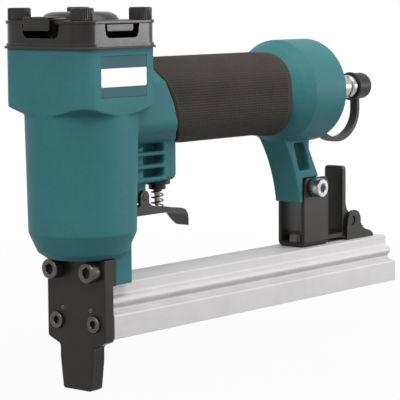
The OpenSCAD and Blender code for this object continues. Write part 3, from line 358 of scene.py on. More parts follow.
# %% A recipe for finishes
def edge_wear_and_highlight(tree, colour, patches, wear_highlight_tone, width):
    """Blends a lighter tone into a colour, in patches, where the surface turns: partly wear, partly a painted
    highlight.
    """
    link = tree.links.new
    soft = add_node(tree, "Bevel", Radius=width * MM)
    soft.samples = 6
    true = add_node(tree, "NewGeometry")
    turn = add_node(tree, "VectorMath", "DOT_PRODUCT")
    link(soft.outputs["Normal"], turn.inputs[0])
    link(true.outputs["Normal"], turn.inputs[1])
    edge = add_node(tree, "MapRange", From_Min=0.97, From_Max=0.80, To_Max=0.75)
    link(turn.outputs["Value"], edge.inputs["Value"])
    patchy = add_node(tree, "Math", "MULTIPLY")
    link(edge.outputs["Result"], patchy.inputs[0])
    link(patches, patchy.inputs[1])
    blend = add_node(tree, "Mix")
    blend.data_type = "RGBA"
    link(patchy.outputs["Value"], blend.inputs["Factor"])
    link(colour, blend.inputs["A"])
    blend.inputs["B"].default_value = srgb(wear_highlight_tone)
    return blend.outputs["Result"]


def recipe(name, dark, light, rough, grain, mottle, bump=0.1, metallic=0.0, stretch=(1, 1, 1), wear_highlight_tone=None,
           wear_highlight_width=0.3, **sockets):
    """A finish between two tones, with a fine grain, slow mottling and, if an edge tone is given, edges
    lightened partly by wear and partly by a painted highlight.
    """
    material = bpy.data.materials.new(name)
    material.use_nodes = True
    tree = material.node_tree
    link = tree.links.new
    shader = tree.nodes["Principled BSDF"]
    where = add_node(tree, "TexCoord")
    turn = add_node(tree, "Mapping", Scale=stretch)
    link(where.outputs["Object"], turn.inputs["Vector"])
    fine = add_node(tree, "TexNoise", Scale=grain, Detail=4.0)
    link(turn.outputs["Vector"], fine.inputs["Vector"])
    slow = add_node(tree, "TexNoise", Scale=mottle, Detail=3.0)
    link(where.outputs["Object"], slow.inputs["Vector"])
    both = add_node(tree, "Mix", Factor=0.45)
    link(slow.outputs["Fac"], both.inputs["A"])
    link(fine.outputs["Fac"], both.inputs["B"])
    tone = add_node(tree, "ValToRGB")
    low, high = tone.color_ramp.elements
    low.position, high.position = 0.32, 0.68
    low.color, high.color = srgb(dark), srgb(light)
    link(both.outputs["Result"], tone.inputs["Fac"])
    colour = tone.outputs["Color"]
    if wear_highlight_tone:
        colour = edge_wear_and_highlight(tree, colour, slow.outputs["Fac"], wear_highlight_tone, wear_highlight_width)
    link(colour, shader.inputs["Base Color"])
    gloss = add_node(tree, "MapRange", From_Min=0.3, From_Max=0.7, To_Min=rough[0], To_Max=rough[1])
    link(both.outputs["Result"], gloss.inputs["Value"])
    link(gloss.outputs["Result"], shader.inputs["Roughness"])
    skin = add_node(tree, "Bump", Strength=bump, Distance=0.1 * MM)
    link(fine.outputs["Fac"], skin.inputs["Height"])
    link(skin.outputs["Normal"], shader.inputs["Normal"])
    set_sockets(shader, {"Metallic": metallic, **sockets})
    return material


# %% The tool's finishes
# The edge tones of the enamel, the casting and the steels are partly wear and partly a painted highlight.
enamel = recipe("teal_enamel", "376b6f", "3d7377", (0.42, 0.52), 700, wear_highlight_tone="5d9297", wear_highlight_width=0.5,
                mottle=45, Specular_IOR_Level=0.07)
grip_rubber = recipe("checked_rubber", "322d2b", "3d3835", (0.55, 0.7), 1500, bump=0.25, mottle=90,
                     Specular_IOR_Level=0.12)
cast_black = recipe("black_casting", "0e0c0a", "161310", (0.28, 0.36), 1100, bump=0.01, wear_highlight_tone="8a8481",
                    mottle=120, Specular_IOR_Level=0.36)
black_steel = recipe("blackened_steel", "181513", "221e1b", (0.3, 0.4), 1600, bump=0.06, wear_highlight_tone="7d7774",
                     mottle=150, Specular_IOR_Level=0.27)
screw_steel = recipe("oiled_screws", "4d4946", "5f5a57", (0.26, 0.38), 1800, bump=0.06, metallic=0.85,
                     wear_highlight_tone="8d8986", mottle=150)
bright_steel = recipe("bright_plate", "a3a3a5", "bdbdbf", (0.2, 0.32), 2200, bump=0.05, metallic=1.0,
                      mottle=200)
drawn_alloy = recipe("drawn_aluminium", "b9b7b7", "c4c2c2", (0.5, 0.6), 2600, bump=0.04, metallic=0.2,
                     stretch=(1, 0.02, 1), mottle=80)
ground_steel = recipe("ground_steel", "9fa0a3", "b6b7ba", (0.24, 0.38), 2200, metallic=1.0,
                      stretch=(1, 0.05, 1), mottle=150)
seal_rubber = recipe("seal_rubber", "2b2725", "37322f", (0.45, 0.6), 1400, bump=0.12, mottle=120,
                     Specular_IOR_Level=0.3)
cap_rubber = recipe("cap_rubber", "12100f", "1d1a18", (0.4, 0.55), 1300, bump=0.12, mottle=120,
                    Specular_IOR_Level=0.3)
cream = recipe("cream_plastic", "c6bda6", "d3cbb6", (0.38, 0.5), 1200, bump=0.05, mottle=100)
panel_film = recipe("panel_film", "3f6168", "45686e", (0.45, 0.55), 1500, bump=0.03, mottle=70,
                    Specular_IOR_Level=0.05)
band_film = recipe("band_film", "f8f9f9", "fdfdfd", (0.4, 0.5), 1500, bump=0.03, mottle=70,
                   Specular_IOR_Level=0.2)
print("finishes:", len(bpy.data.materials))

# %% [markdown]
# ## The body casting
# The body is one painted casting. Its forms are simple, but they melt into each other with the radii that a
# mould needs. So it is blocked out from turned, sawn and cut blanks that overlap, and a voxel remesh melts
# them into one skin. Smoothing then rounds what is left sharp, and the machined bores and flats are cut
# last, crisp.

# %% Head and barrel blanks
HEAD, HEAD_R, HEAD_Z1 = 23.0, 7.6, 139.5
BARREL_Z0, SHOULDER_Z = 54.5, 113.0
CORNER_R, CORNER_Z = 30.8, 116.9
PLATE_Y1, MAG_Z1 = 3.1, 43.4
LUG_X, LUG_Y1 = 14.5, 14.3
barrel_steps = [(14.9, BARREL_Z0), (18.5, 57.0), (22.1, 65.0), (HEAD, SHOULDER_Z), (22.0, 118.0)]
barrel = turned("barrel", barrel_steps, 96)
head = bar("head", (-HEAD, -HEAD, SHOULDER_Z), (HEAD, HEAD, HEAD_Z1 + 3))
round_edges(head, HEAD_R, running("z"), 8)
corner_cone = turned("corner_cone", [(HEAD, SHOULDER_Z), (CORNER_R, CORNER_Z), (CORNER_R, 145.0)], 96)
cut(head, corner_cone, operation="INTERSECT")
lug = bar("lug", (-LUG_X, PLATE_Y1, MAG_Z1), (LUG_X, LUG_Y1, 60.0))
round_edges(lug, 1.2, running("z"), 3)
print("barrel and head blocked out")

# %% [markdown]
# The valve block hangs behind the barrel. Its sides have pockets with cooling ribs across them, and the
# ribs stand a little proud. A lug below it carries the trigger's pin.

# %% Valve block
SIDES = (-1, 1)
HANDLE_Z = 116.0
VALVE_Y, BLOCK_R, BLOCK_Z0, BLOCK_Y0 = 46.3, 8.0, 82.4, 10.0
RIB_LEVELS, RIB_HALF, RIB_Y0, RIB_Y1 = (83.9, 89.3, 94.6), 0.85, 22.0, 42.6
PIN_Y, PIN_Z, PIVOT_R, PIVOT_X = 30.0, 76.8, 2.9, 5.6
TRIGGER_PIN = (0, PIN_Y, PIN_Z)
block_rim = [(BLOCK_R, BLOCK_Y0)] + arc((0, VALVE_Y), BLOCK_R, 0, 180, 20) + [(-BLOCK_R, BLOCK_Y0)]
block = cut_plate("block", block_rim, HANDLE_Z - BLOCK_Z0, "XY", BLOCK_Z0)
round_edges(block, 2.4, lambda a, b: max(a.z, b.z) < BLOCK_Z0 + 0.1 and min(a.y, b.y) > 20, 4)
ribs = []
for side in SIDES:
    pocket = side_bar("pocket", side, 2.0, 9.5, (25.2, 84.6), (41.6, 101.0))
    cut(block, round_edges(pocket, 1.4, running("x"), 4))
    for z in RIB_LEVELS:
        rib = side_bar("rib", side, 1.6, 8.5, (RIB_Y0, z - RIB_HALF), (RIB_Y1, z + RIB_HALF))
        ribs.append(round_edges(rib, 0.7, lambda a, b: min(a.y, b.y) > 42, 3))
    ribs.append(side_bar("rib", side, 1.6, 6.6, (RIB_Y0, 85.0), (30.2, 97.4)))
trigger_lug = rod("trigger_lug", PIVOT_R, -PIVOT_X, PIVOT_X, 32, "X", TRIGGER_PIN)
lug_web = bar("lug_web", (-PIVOT_X, PIN_Y - PIVOT_R, PIN_Z), (PIVOT_X, PIN_Y + PIVOT_R, 83.5))
print("valve block with", len(ribs), "ribs")

# %% [markdown]
# The handle's neck is a rounded bar with a flat pad on each side. Both are sliced along the line where the
# rubber grip begins, and a thinner core runs on inside the rubber.


# %% Neck and handle core
def handle_bar(name, width, height, radius, y0, y1):
    """A rounded bar along the handle's axis."""
    obj = bar(name, (-width / 2, y0, HANDLE_Z - height / 2), (width / 2, y1, HANDLE_Z + height / 2))
    return round_edges(obj, radius, running("y"), 10)


GRIP_Y0, SLANT_ABOVE, SLANT_BELOW = 38.8, 0.594, 0.29
TUCK, TUCK_FROM = 0.087, 9.0


def front_edge(z):
    """Where the rubber begins: a slant over the neck that eases below its middle and runs back underneath."""
    down = HANDLE_Z - z
    slant = SLANT_ABOVE if down < 0 else SLANT_BELOW
    return GRIP_Y0 + down * slant + TUCK * max(0.0, down - TUCK_FROM) ** 2


NECK_W, NECK_Y1 = 33.0, 60.0
SLICE_Z0, SLICE_STEP, SLICE_Y1 = 97.0, 2.0, 75.0
neck = handle_bar("neck", NECK_W, 35.4, 13.5, 12.0, NECK_Y1)
pad = bar("pad", (-NECK_W / 2, 16.0, 102.6), (NECK_W / 2, NECK_Y1, 125.9))
round_edges(pad, 1.5, lambda a, b: abs(a.y - b.y) > 1 and a.z > HANDLE_Z, 3)
round_edges(pad, 6.0, lambda a, b: abs(a.y - b.y) > 1 and a.z < HANDLE_Z, 8)
levels = [SLICE_Z0 + SLICE_STEP * i for i in range(21)]
behind = [(front_edge(z), z) for z in levels] + [(SLICE_Y1, levels[-1]), (SLICE_Y1, levels[0])]
for piece in (neck, pad):
    cut(piece, cut_plate("slice", behind, 40.0, "YZ", -20.0))
core = handle_bar("core", 29.6, 32.0, 11.8, 12.0, 119.5)
print("neck and core blocked out")

# %% [markdown]
# The drum is turned in one piece with the cone in front of it. The leg below is cut from plate to an
# outline with a hollow front. A pocket is milled in each side, and the end is thinned to fit the bracket.

# %% Drum and leg
HANDLE_AXIS = (0, 0, HANDLE_Z)
DRUM_R, DRUM_Y0, DRUM_Y1, DRUM_EDGE = 23.6, 129.2, 152.8, 1.0
LEG_X, TENON_X, HEEL_Z = 7.0, 5.6, 75.9
drum_steps = [(16.4, 117.0), (17.3, 118.0), (20.9, 123.4), (DRUM_R, DRUM_Y0),
              (DRUM_R, DRUM_Y1 - DRUM_EDGE), (DRUM_R - DRUM_EDGE, DRUM_Y1)]
drum = turned("drum", drum_steps, 96, "Y", HANDLE_AXIS)
hollow_front = arc((73.73, 55.6), 65.0, 7.96, 45.0, 20)
leg_outline = [(154.1, 64.6), (153.1, HEEL_Z), (145.7, 89.0), (145.7, 104.0)] + hollow_front[::-1]
leg = cut_plate("leg", leg_outline, 2 * LEG_X, "YZ", -LEG_X)
pocket_outline = [(133.7, 92.4), (141.2, 92.4), (146.4, 79.4), (138.0, 79.4)]
for side in SIDES:
    pocket = cut_plate("leg_pocket", pocket_outline, 6.0, "YZ", side * TENON_X - 3.0)
    cut(leg, round_edges(pocket, 1.2, running("x"), 4))
for side in SIDES:
    cut(leg, side_bar("cheek", side, TENON_X, 9.0, (140.8, 60.0), (160.0, HEEL_Z)))
print("drum and leg blocked out")

# %% Melt the blanks into one casting
VOXEL = 0.45
casting = joined("casting", barrel, head, lug, block, *ribs, trigger_lug, lug_web, neck, pad, core, drum, leg)
modify(casting, "REMESH", mode="VOXEL", voxel_size=VOXEL, adaptivity=0.0)
modify(casting, "SMOOTH", factor=0.5, iterations=4)
modify(casting, "DECIMATE", decimate_type="COLLAPSE", ratio=0.3, use_collapse_triangulate=True)
print("casting:", len(casting.data.polygons), "triangles before the cuts")

# %% [markdown]
# The machined cuts: the cylinder bore, the bumper's seat, the blade's slot, the valve bore, the air chamber
# with the tail cap's seat, the label's recess, and flats where other pieces bolt on.

# %% Machine the casting
BORE_R, SEAT_R, SEAT_Z1 = 20.0, 14.0, 66.0
BLADE_X, BLADE_Y = 6.6, 0.8
VALVE_R, VALVE_Z1, VENT_R = 4.6, 97.4, 1.7
AIR_R, REAR_R, TAIL_R, TAIL_Y = 11.0, 17.0, 18.05, 142.8
bore = turned("bore", [(SEAT_R, 58.5), (SEAT_R, SEAT_Z1), (BORE_R, SEAT_Z1), (BORE_R, 150.0)], 96)
slot = bar("slot", (-BLADE_X, -BLADE_Y, 50.0), (BLADE_X, BLADE_Y, 60.0))
valve_steps = [(VALVE_R, 78.0), (VALVE_R, VALVE_Z1), (VENT_R, VALVE_Z1), (VENT_R, 110.0)]
valve_bore = turned("valve_bore", valve_steps, 40, "Z", (0, VALVE_Y, 0))
chamber_steps = [(AIR_R, 30.0), (AIR_R, 130.8), (REAR_R, 138.8), (REAR_R, TAIL_Y), (TAIL_R, TAIL_Y),
                 (TAIL_R, 160.0)]
chamber = turned("chamber", chamber_steps, 72, "Y", HANDLE_AXIS)
recess = bar("recess", (HEAD - 0.6, -12.9, 120.2), (HEAD + 3, 14.3, 136.8))
nose_flat = bar("nose_flat", (-17.0, -30.0, 40.0), (17.0, PLATE_Y1, BARREL_Z0))
top_flat = bar("top_flat", (-40, -40, HEAD_Z1), (40, 40, 160.0))
cut(casting, bore, slot, valve_bore, chamber, recess, nose_flat, top_flat)
finish(smooth(casting, 38), "body", enamel, "teal_paint", "housing")

# %% [markdown]
# ## The rubber grip
# The sleeve is checked all over with fine pyramids, except for a smooth border at each end. Its section is
# a rounded bar. A ring of points round the section is extruded to the rear in rows, and every face between
# the borders is poked outwards into a pyramid. The front follows the slant of the neck and dips round the
# block, and the rear end flares a little underneath.

# %% Grip section and front
GRIP_W, GRIP_H, GRIP_R, GRIP_T = 17.0, 18.2, 14.0, 2.2
GRIP_Y1 = 118.0
BLOCK_ROOM = 0.4


def grip_section(inset, count):
    """Points spaced evenly round the grip's rounded section, from the middle of its underside."""
    w, h, r = GRIP_W - inset, GRIP_H - inset, GRIP_R - inset
    corner = math.pi * r / 2
    runs = [w - r, corner, 2 * (h - r), corner, 2 * (w - r), corner, 2 * (h - r), corner, w - r]
    points = []
    for i in range(count):
        s = sum(runs) * i / count
        step = 0
        while s > runs[step]:
            s -= runs[step]
            step += 1
        t = s / r
        points.append([
            (s, -h), (w - r + r * math.sin(t), -h + r - r * math.cos(t)), (w, -h + r + s),
            (w - r + r * math.cos(t), h - r + r * math.sin(t)), (w - r - s, h),
            (-w + r - r * math.sin(t), h - r + r * math.cos(t)), (-w, h - r - s),
            (-w + r - r * math.cos(t), -h + r - r * math.sin(t)), (-w + r + s, -h)][step])
    return points


def grip_front(x, z):
    """Front edge of the sleeve: on the slant, and behind the valve block where it passes below."""
    y = front_edge(z)
    clear = BLOCK_R + BLOCK_ROOM
    if abs(x) < clear and z < HANDLE_Z:
        y = max(y, VALVE_Y + math.sqrt(clear**2 - x**2))
    return y


# %% Grip sleeve
ROUND, ROWS, BORDER = 104, 72, 2
FLARE, FLARE_Y = 0.075, 106.0
CHECK_H = 0.26
deselect()
bpy.ops.mesh.primitive_circle_add(vertices=ROUND, radius=1, fill_type="NOTHING")
sleeve = named("grip")
edit(sleeve, "EDGE")
for row in range(ROWS + 3):
    bpy.ops.mesh.extrude_edges_move(TRANSFORM_OT_translate={"value": (0, 0, 1)})
leave()
outer, inner, rim = grip_section(0, ROUND), grip_section(GRIP_T, ROUND), grip_section(0.6, ROUND)
for vertex in sleeve.data.vertices:
    row, i = divmod(vertex.index, ROUND)
    x, z = {0: rim, ROWS + 1: inner, ROWS + 2: inner, ROWS + 3: rim}.get(row, outer)[i]
    front = grip_front(outer[i][0], HANDLE_Z + outer[i][1])
    t = {ROWS + 1: 1.0, ROWS + 2: 0.0, ROWS + 3: 0.0}.get(row, row / ROWS)
    y = front + (GRIP_Y1 - front) * t
    flare = FLARE * max(0.0, (y - FLARE_Y) / (GRIP_Y1 - FLARE_Y)) ** 2 * (row <= ROWS)
    low_side = 0.5 - 0.5 * math.tanh(z / 6.0)
    vertex.co = (x * (1 + flare * (0.3 + 0.7 * low_side)), y, HANDLE_Z + z * (1 + flare * low_side))
for face in sleeve.data.polygons:
    rows = [i // ROUND for i in face.vertices]
    face.material_index = int(BORDER <= min(rows) and max(rows) <= ROWS - BORDER)
outward(sleeve)
edit(sleeve, "FACE", lambda face: face.material_index == 1)
bpy.ops.mesh.poke(offset=CHECK_H)
leave()
finish(smooth(sleeve, 20), "body", grip_rubber, "grip_rubber", "grip_sleeve")

# %% [markdown]
# ## Screws
# A socket screw is a turned blank: a head, plain or with rolled knurls, a hexagon socket with a lead-in
# chamfer, and a shank. Each size is modelled once and copied to its places.


# %% Socket screws
HEAD_SIDES, KNURL = 72, 0.955


def socket_screw(name, d, length, knurled=True, wide=0.0):
    """A socket screw that stands on z = 0 with its shank below."""
    r, h, key = (1.5 * d + 1) / 2 + wide, d, (d - 1) / 2 / math.cos(math.pi / 6)
    steps = [(r - 0.25, 0), (r, 0.2), (r, h - 0.6), (r - 0.16, h - 0.2), (r - 0.5, h)]
    top = turned("screw_head", steps, HEAD_SIDES)
    if knurled:
        for vertex in top.data.vertices:
            turn = round(math.atan2(vertex.co.y, vertex.co.x) / (2 * math.pi / HEAD_SIDES))
            if turn % 2 and 0.1 < vertex.co.z < h - 0.5:
                vertex.co.x *= KNURL
                vertex.co.y *= KNURL
    cut(top, rod("key", key, 0.42 * h, h + 1, 6))
    cut(top, turned("lead", [(key - 0.45, h - 0.5), (key + 0.55, h + 0.5)], 24))
    shank = turned("shank", [(d / 2 - 0.4, -length), (d / 2, 0.4 - length), (d / 2, 0.1)], 24)
    return smooth(joined(name, top, shank), 28)


def copies(name, obj, places, axis="Z"):
    """Copies a piece to each place, and joins the copies."""
    made = []
    for place in places:
        take(obj)
        bpy.ops.object.duplicate()
        made.append(lay(bpy.context.object, axis, place))
    bpy.data.objects.remove(obj)
    return joined(name, *made)


# %% Screws in their places
BOLT_X, COVER_Z1 = 17.2, 150.7
SCREW_X, PLATE_Y0, SINK_Y, UPPER_Z, LOWER_Z = 10.2, -4.7, -2.0, 49.7, 28.2
BASE_Z, LATCH_BASE_Z = 45.2, 44.6
BRACKET_BOLT = (8.1, 148.2, 71.0)
bolt_places = [(x * BOLT_X, y * BOLT_X) for x in SIDES for y in SIDES]
cap_bolt = socket_screw("cap_bolt", 5.0, 23.2, wide=0.42)
cap_bolts = copies("cap_bolts_knurled", cap_bolt, [(x, y, COVER_Z1) for x, y in bolt_places])
finish(cap_bolts, "body", black_steel, "black_steel", "cap_bolts")
upper_screw = socket_screw("upper_screw", 5.0, 16.8, knurled=False)
upper = copies("upper_screws", upper_screw, [(x * SCREW_X, PLATE_Y0, UPPER_Z) for x in SIDES], "-Y")
finish(upper, "body", screw_steel, "black_steel", "upper_nose_screws")
lower_screw = socket_screw("lower_screw", 4.0, 14.1)
lower = copies("lower_screws", lower_screw, [(x * SCREW_X, SINK_Y, LOWER_Z) for x in SIDES], "-Y")
finish(lower, "body", screw_steel, "black_steel", "lower_nose_screws")
base_places = [(0, 145.4, BASE_Z), (0, 155.6, BASE_Z), (0, 193.2, LATCH_BASE_Z)]
base = copies("base_screws", socket_screw("base_screw", 4.0, 4.1), base_places)
finish(base, "body", screw_steel, "black_steel", "magazine_screws")
bolt = lay(socket_screw("bracket_screw", 5.0, 18.9, knurled=False), "X", BRACKET_BOLT)
finish(bolt, "body", bright_steel, "bright_steel", "bracket_bolt")

# %% [markdown]
# ## Copies with softened edges
# These pieces already have their form in the CAD model. Each gets a copy with softened edges: narrow on
# sheet and turned parts, wider on the castings.

# %% Softened copies
SOFTENED = [
    ("exhaust_deflector", "deflector_hood", 0.5, 3, "body", cast_black, "black_cast"),
    ("cap_gasket", "gasket_sheet", 0.22, 2, "body", seal_rubber, "nitrile"),
    ("rear_bracket", "bracket_sheet", 0.35, 2, "body", black_steel, "black_steel"),
    # The washers are bright steel, but get blackened steel here as painted shade for the bolt head's shadow
    # on the bracket.
    ("bracket_washers", "bracket_washer_pair", 0.15, 2, "body", black_steel, "bright_steel"),
    ("bracket_nut", "bracket_hex_nut", 0.3, 2, "body", bright_steel, "bright_steel"),
    ("nose_dowels", "dowel_pins", 0.4, 2, "body", screw_steel, "bright_steel"),
    ("trigger_pin", "trigger_rivet", 0.35, 2, "body", black_steel, "bright_steel"),
    ("valve_bushing", "valve_bush", 0.25, 2, "body", black_steel, "black_steel"),
    ("valve_stem", "stem", 0.12, 2, "valve_stem", cream, "cream_plastic"),
    ("tail_cap", "tail_plug", 0.5, 3, "body", enamel, "teal_paint"),
    ("staple_rail", "inner_rail", 0.15, 2, "staple_rail", ground_steel, "bright_steel"),
    ("rail_end_block", "rail_stop", 0.3, 2, "staple_rail", black_steel, "black_steel"),
    ("pusher", "staple_pusher", 0.15, 2, "pusher", ground_steel, "bright_steel"),
]
for node, name, width, segments, body, material, slot_name in SOFTENED:
    finish(copied(node, name, width, segments), body, material, slot_name, node)

# %% [markdown]
# ## Nose plates and thumb lever
# Both nose plates share one outline: a tongue with round corners, shoulders and straight sides. The rear
# plate is a little smaller all round and steps in beside the magazine. The rims are bevelled while the
# faces are still whole, and then the channel of the blade and the holes are cut. The lever is a copy whose
# top corners are rounded first, because a thumb would find them.

# %% Nose plates
PLATE_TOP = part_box("nose_plate")[1][2] / MM
TIP_X, TIP_R, TONGUE_X, PLATE_X = 7.8, 1.3, 9.2, 16.0
DOWEL_X, DOWEL_Z = 7.8, 33.4
SINK_R, STEP_X = 3.7, 9.8
CHANNEL_X, CHANNEL_Z1, GROOVE_Z0 = 6.65, 40.3, 22.6
plate_holes = ((SCREW_X, UPPER_Z, 2.55), (SCREW_X, LOWER_Z, 2.05), (DOWEL_X, DOWEL_Z, 1.225))


def nose_sheet(name, y0, y1, inset):
    """A plate of the nose between two places along Y, smaller all round by an inset."""
    tip, tongue, side = TIP_X - inset, TONGUE_X - inset, PLATE_X - inset
    half = arc((tip - TIP_R, TIP_R), TIP_R, 270, 354, 5)
    half += [(tongue, 13.0), (tongue, 17.5), (tongue + 0.7, 18.5), (side - 1.2, 20.5)]
    half += [(side - 0.4, 20.9), (side, 21.7), (side, PLATE_TOP)]
    sheet = cut_plate(name, half + [(-x, z) for x, z in half[::-1]], y1 - y0, "XZ", y0)
    round_edges(sheet, 0.5, lambda a, b: max(a.y, b.y) < y0 + 0.01, 3)
    round_edges(sheet, 0.35, lambda a, b: min(a.y, b.y) > y1 - 0.01, 1)
    for way in SIDES:
        for x, z, r in plate_holes:
            cut(sheet, rod("hole", r, -9.0, 9.0, 32, "Y", (way * x, 0, z)))
    return sheet


front_plate = nose_sheet("front_nose_plate", PLATE_Y0, BLADE_Y, 0.0)
cut(front_plate, bar("blade_way", (-BLADE_X, -BLADE_Y, -1.0), (BLADE_X, 2.0, PLATE_TOP + 1)))
for x in SIDES:
    cut(front_plate, rod("sink", SINK_R, PLATE_Y0 - 1, SINK_Y, 48, "Y", (x * SCREW_X, 0, LOWER_Z)))
finish(soften(front_plate, 0.08, 1), "body", black_steel, "black_steel", "nose_plate")
rear_plate = nose_sheet("rear_guide_plate", BLADE_Y, PLATE_Y1, 0.6)
cut(rear_plate, bar("staple_way", (-CHANNEL_X, 0.0, GROOVE_Z0), (CHANNEL_X, 5.0, CHANNEL_Z1)))
for side in SIDES:
    cut(rear_plate, side_bar("step", side, STEP_X, 2 * STEP_X, (-1.0, 17.0), (5.0, 43.5)))
finish(soften(rear_plate, 0.08, 1), "body", black_steel, "black_steel", "guide_plate")

# %% Thumb lever
LEVER_CORNER_Z = 78.0
thumb = copied("latch_lever", "thumb_lever")
round_edges(thumb, 1.4, lambda a, b: abs(a.y - b.y) > 1 and min(a.z, b.z) > LEVER_CORNER_Z, 2)
finish(soften(thumb, 0.55, 3), "latch", black_steel, "black_steel", "latch_lever")

# %% [markdown]
# ## Cylinder cap
# The cap is a casting with round corners and a narrow foot. Its exhaust windows are cut from one outline
# with round lower corners, and then the chamber, the bore and the ways for the bolts. The cover plate on
# top carries a low dome, which is turned, and a lip hangs from it into each side window.


# %% Cap
CAP_X, CAP_R, CAP_Z0, COVER_Z0 = 22.8, 7.4, 140.4, 149.3
FOOT_X, FOOT_R, FOOT_Z1 = 23.4, 8.0, 141.5
WINDOW_X, WINDOW_R, WINDOW_CORNER, WINDOW_Z1 = 10.4, 2.6, (7.2, 146.3), 151.0
WINDOW_DEPTH, WINDOW_NEAR, WINDOW_FAR = 17.5, 6.5, 24.0


def bolt_holes(r, low, high):
    """Four rods to cut the ways for the cap bolts."""
    return [rod("bolt_hole", r, low, high, 24, "Z", (x, y, 0)) for x, y in bolt_places]


cap_body = bar("cap_casting", (-CAP_X, -CAP_X, CAP_Z0), (CAP_X, CAP_X, COVER_Z0))
round_edges(cap_body, CAP_R, running("z"), 10)
foot = bar("foot", (-FOOT_X, -FOOT_X, CAP_Z0), (FOOT_X, FOOT_X, FOOT_Z1))
round_edges(foot, FOOT_R, running("z", 0.5), 10)
cut(cap_body, foot, operation="UNION")
corner_x, corner_z = WINDOW_CORNER
window = [(-WINDOW_X, WINDOW_Z1)] + arc((-corner_x, corner_z), WINDOW_R, 180, 270, 6)
window += arc((corner_x, corner_z), WINDOW_R, 270, 360, 6) + [(WINDOW_X, WINDOW_Z1)]
for plane, start in (("XZ", -WINDOW_FAR), ("YZ", WINDOW_NEAR), ("YZ", -WINDOW_FAR)):
    cut(cap_body, cut_plate("window", window, WINDOW_DEPTH, plane, start))
cut(cap_body, rod("chamber", 12.0, 143.7, 151.0, 72), rod("bore", 9.0, 139.0, 151.0, 64))
cut(cap_body, *bolt_holes(2.55, 139, 151))
finish(soften(cap_body, 0.45, 3), "body", cast_black, "black_cast", "cylinder_cap")

# %% Cover and lips
LIP_X0, LIP_X1, LIP_Y, LIP_Z0, LIP_Z1 = 20.819, 21.8, 7.8, 146.3, 149.2
cover = bar("cover_plate", (-FOOT_X, -FOOT_X, COVER_Z0), (FOOT_X, FOOT_X, COVER_Z1))
round_edges(cover, 7.8, running("z"), 8)
dome_steps = [(15.9, 150.4), (15.5, 151.3), (14.6, 152.5), (13.2, 153.4), (11.2, 153.9), (8.0, 154.0)]
cut(cover, turned("dome", dome_steps, 72), operation="UNION")
cut(cover, *bolt_holes(2.6, 145, 155))
finish(soften(cover, 0.45, 3), "body", cast_black, "black_cast", "exhaust_cover")
lips = []
for side in SIDES:
    lip = side_bar("lip", side, LIP_X0, LIP_X1, (-LIP_Y, LIP_Z0), (LIP_Y, LIP_Z1))
    lips.append(round_edges(lip, 0.9, lambda a, b: abs(a.x - b.x) > 0.1 and max(a.z, b.z) < 147, 3))
finish(soften(joined("window_lips", *lips), 0.25, 2), "body", cast_black, "black_cast")

# %% [markdown]
# ## Magazine
# The magazine is an aluminium extrusion, so one outline tells its whole shape: a skirt, a ledge, a round
# bead and a flat top outside, and inside the channel in which the staple rail slides. The outline is cut
# from plate and pulled to its length. The hollows in the skirt and the latch's slot are cut afterwards.

# %% Extrusion
MAG_Y0, MAG_Y1, MAG_Z0 = 0.95, 203.2, 21.8
SKIRT_X, SKIRT_Z1, TOP_X = 16.2, 31.2, 10.5
BEAD, BEAD_R = (11.3, 36.2), 2.05
GROOVE_X, GROOVE_Z1 = 7.55, 23.7
HOLLOW_X, HOLLOW_HALF, SLOT_X = 13.3, 1.4, 1.7
outside = [(SKIRT_X, MAG_Z0), (SKIRT_X, SKIRT_Z1), (15.8, 31.6), (13.4, 31.9), (12.1, 32.5), (11.7, 33.5)]
outside += arc(BEAD, BEAD_R, -65, 80, 10)
outside += [(10.7, 38.7), (TOP_X, 39.3), (TOP_X, 43.0), (10.1, MAG_Z1)]
channel = [(CHANNEL_X, CHANNEL_Z1), (CHANNEL_X, GROOVE_Z1), (GROOVE_X, GROOVE_Z1), (GROOVE_X, GROOVE_Z0),
           (CHANNEL_X, GROOVE_Z0), (CHANNEL_X, MAG_Z0)]
mirrored = [(-x, z) for x, z in (channel + outside)[::-1]]
magazine = cut_plate("magazine_extrusion", channel + outside + mirrored, MAG_Y1 - MAG_Y0, "XZ", MAG_Y0)
for x in (-HOLLOW_X, HOLLOW_X):
    cut(magazine, bar("hollow", (x - HOLLOW_HALF, 0.0, 23.4), (x + HOLLOW_HALF, 210.0, 30.2)))
cut(magazine, bar("latch_slot", (-SLOT_X, 159.6, 39.0), (SLOT_X, 167.0, 45.0)))
finish(soften(magazine, 0.25, 2), "body", drawn_alloy, "alloy", "magazine_body")

# %% [markdown]
# ## Latch ears
# The latch swings between two ears of a folded bracket. Each ear is cut from plate to a round top, with a
# low hollow foot running out behind it, and the rivet sits a little below the ears' faces.

# %% Ears and rivet
EAR_X, EAR_T, EAR_Y0, EAR_Y1 = 6.9, 1.5, 176.2, 197.4
LATCH_PIN, RIVET_R, RIVET_X = (0, 180.8, 52.5), 2.2, 6.3
ear_outline = [(EAR_Y0, 43.5), (197.8, 43.5), (197.6, 44.8), (195.2, 46.4), (191.6, 47.3), (189.0, 48.6)]
ear_outline += arc((182.2, 52.0), 5.3, -12, 180, 20) + [(EAR_Y0, 49.5)]
ears = [cut_plate("ear", ear_outline, EAR_T, "YZ", x) for x in (-EAR_X, EAR_X - EAR_T)]
latch_ears = bar("latch_ears", (-EAR_X, EAR_Y0, MAG_Z1), (EAR_X, EAR_Y1, LATCH_BASE_Z))
cut(latch_ears, *ears, operation="UNION")
cut(latch_ears, rod("pin_hole", RIVET_R + 0.05, -9, 9, 32, "X", LATCH_PIN))
rivet = rod("latch_rivet", RIVET_R, -RIVET_X, RIVET_X, 32, "X", LATCH_PIN)
finish(soften(rivet, 0.3, 2), "body", black_steel, "bright_steel", "latch_pin")
finish(soften(latch_ears, 0.4, 3), "body", black_steel, "black_steel", "latch_bracket")

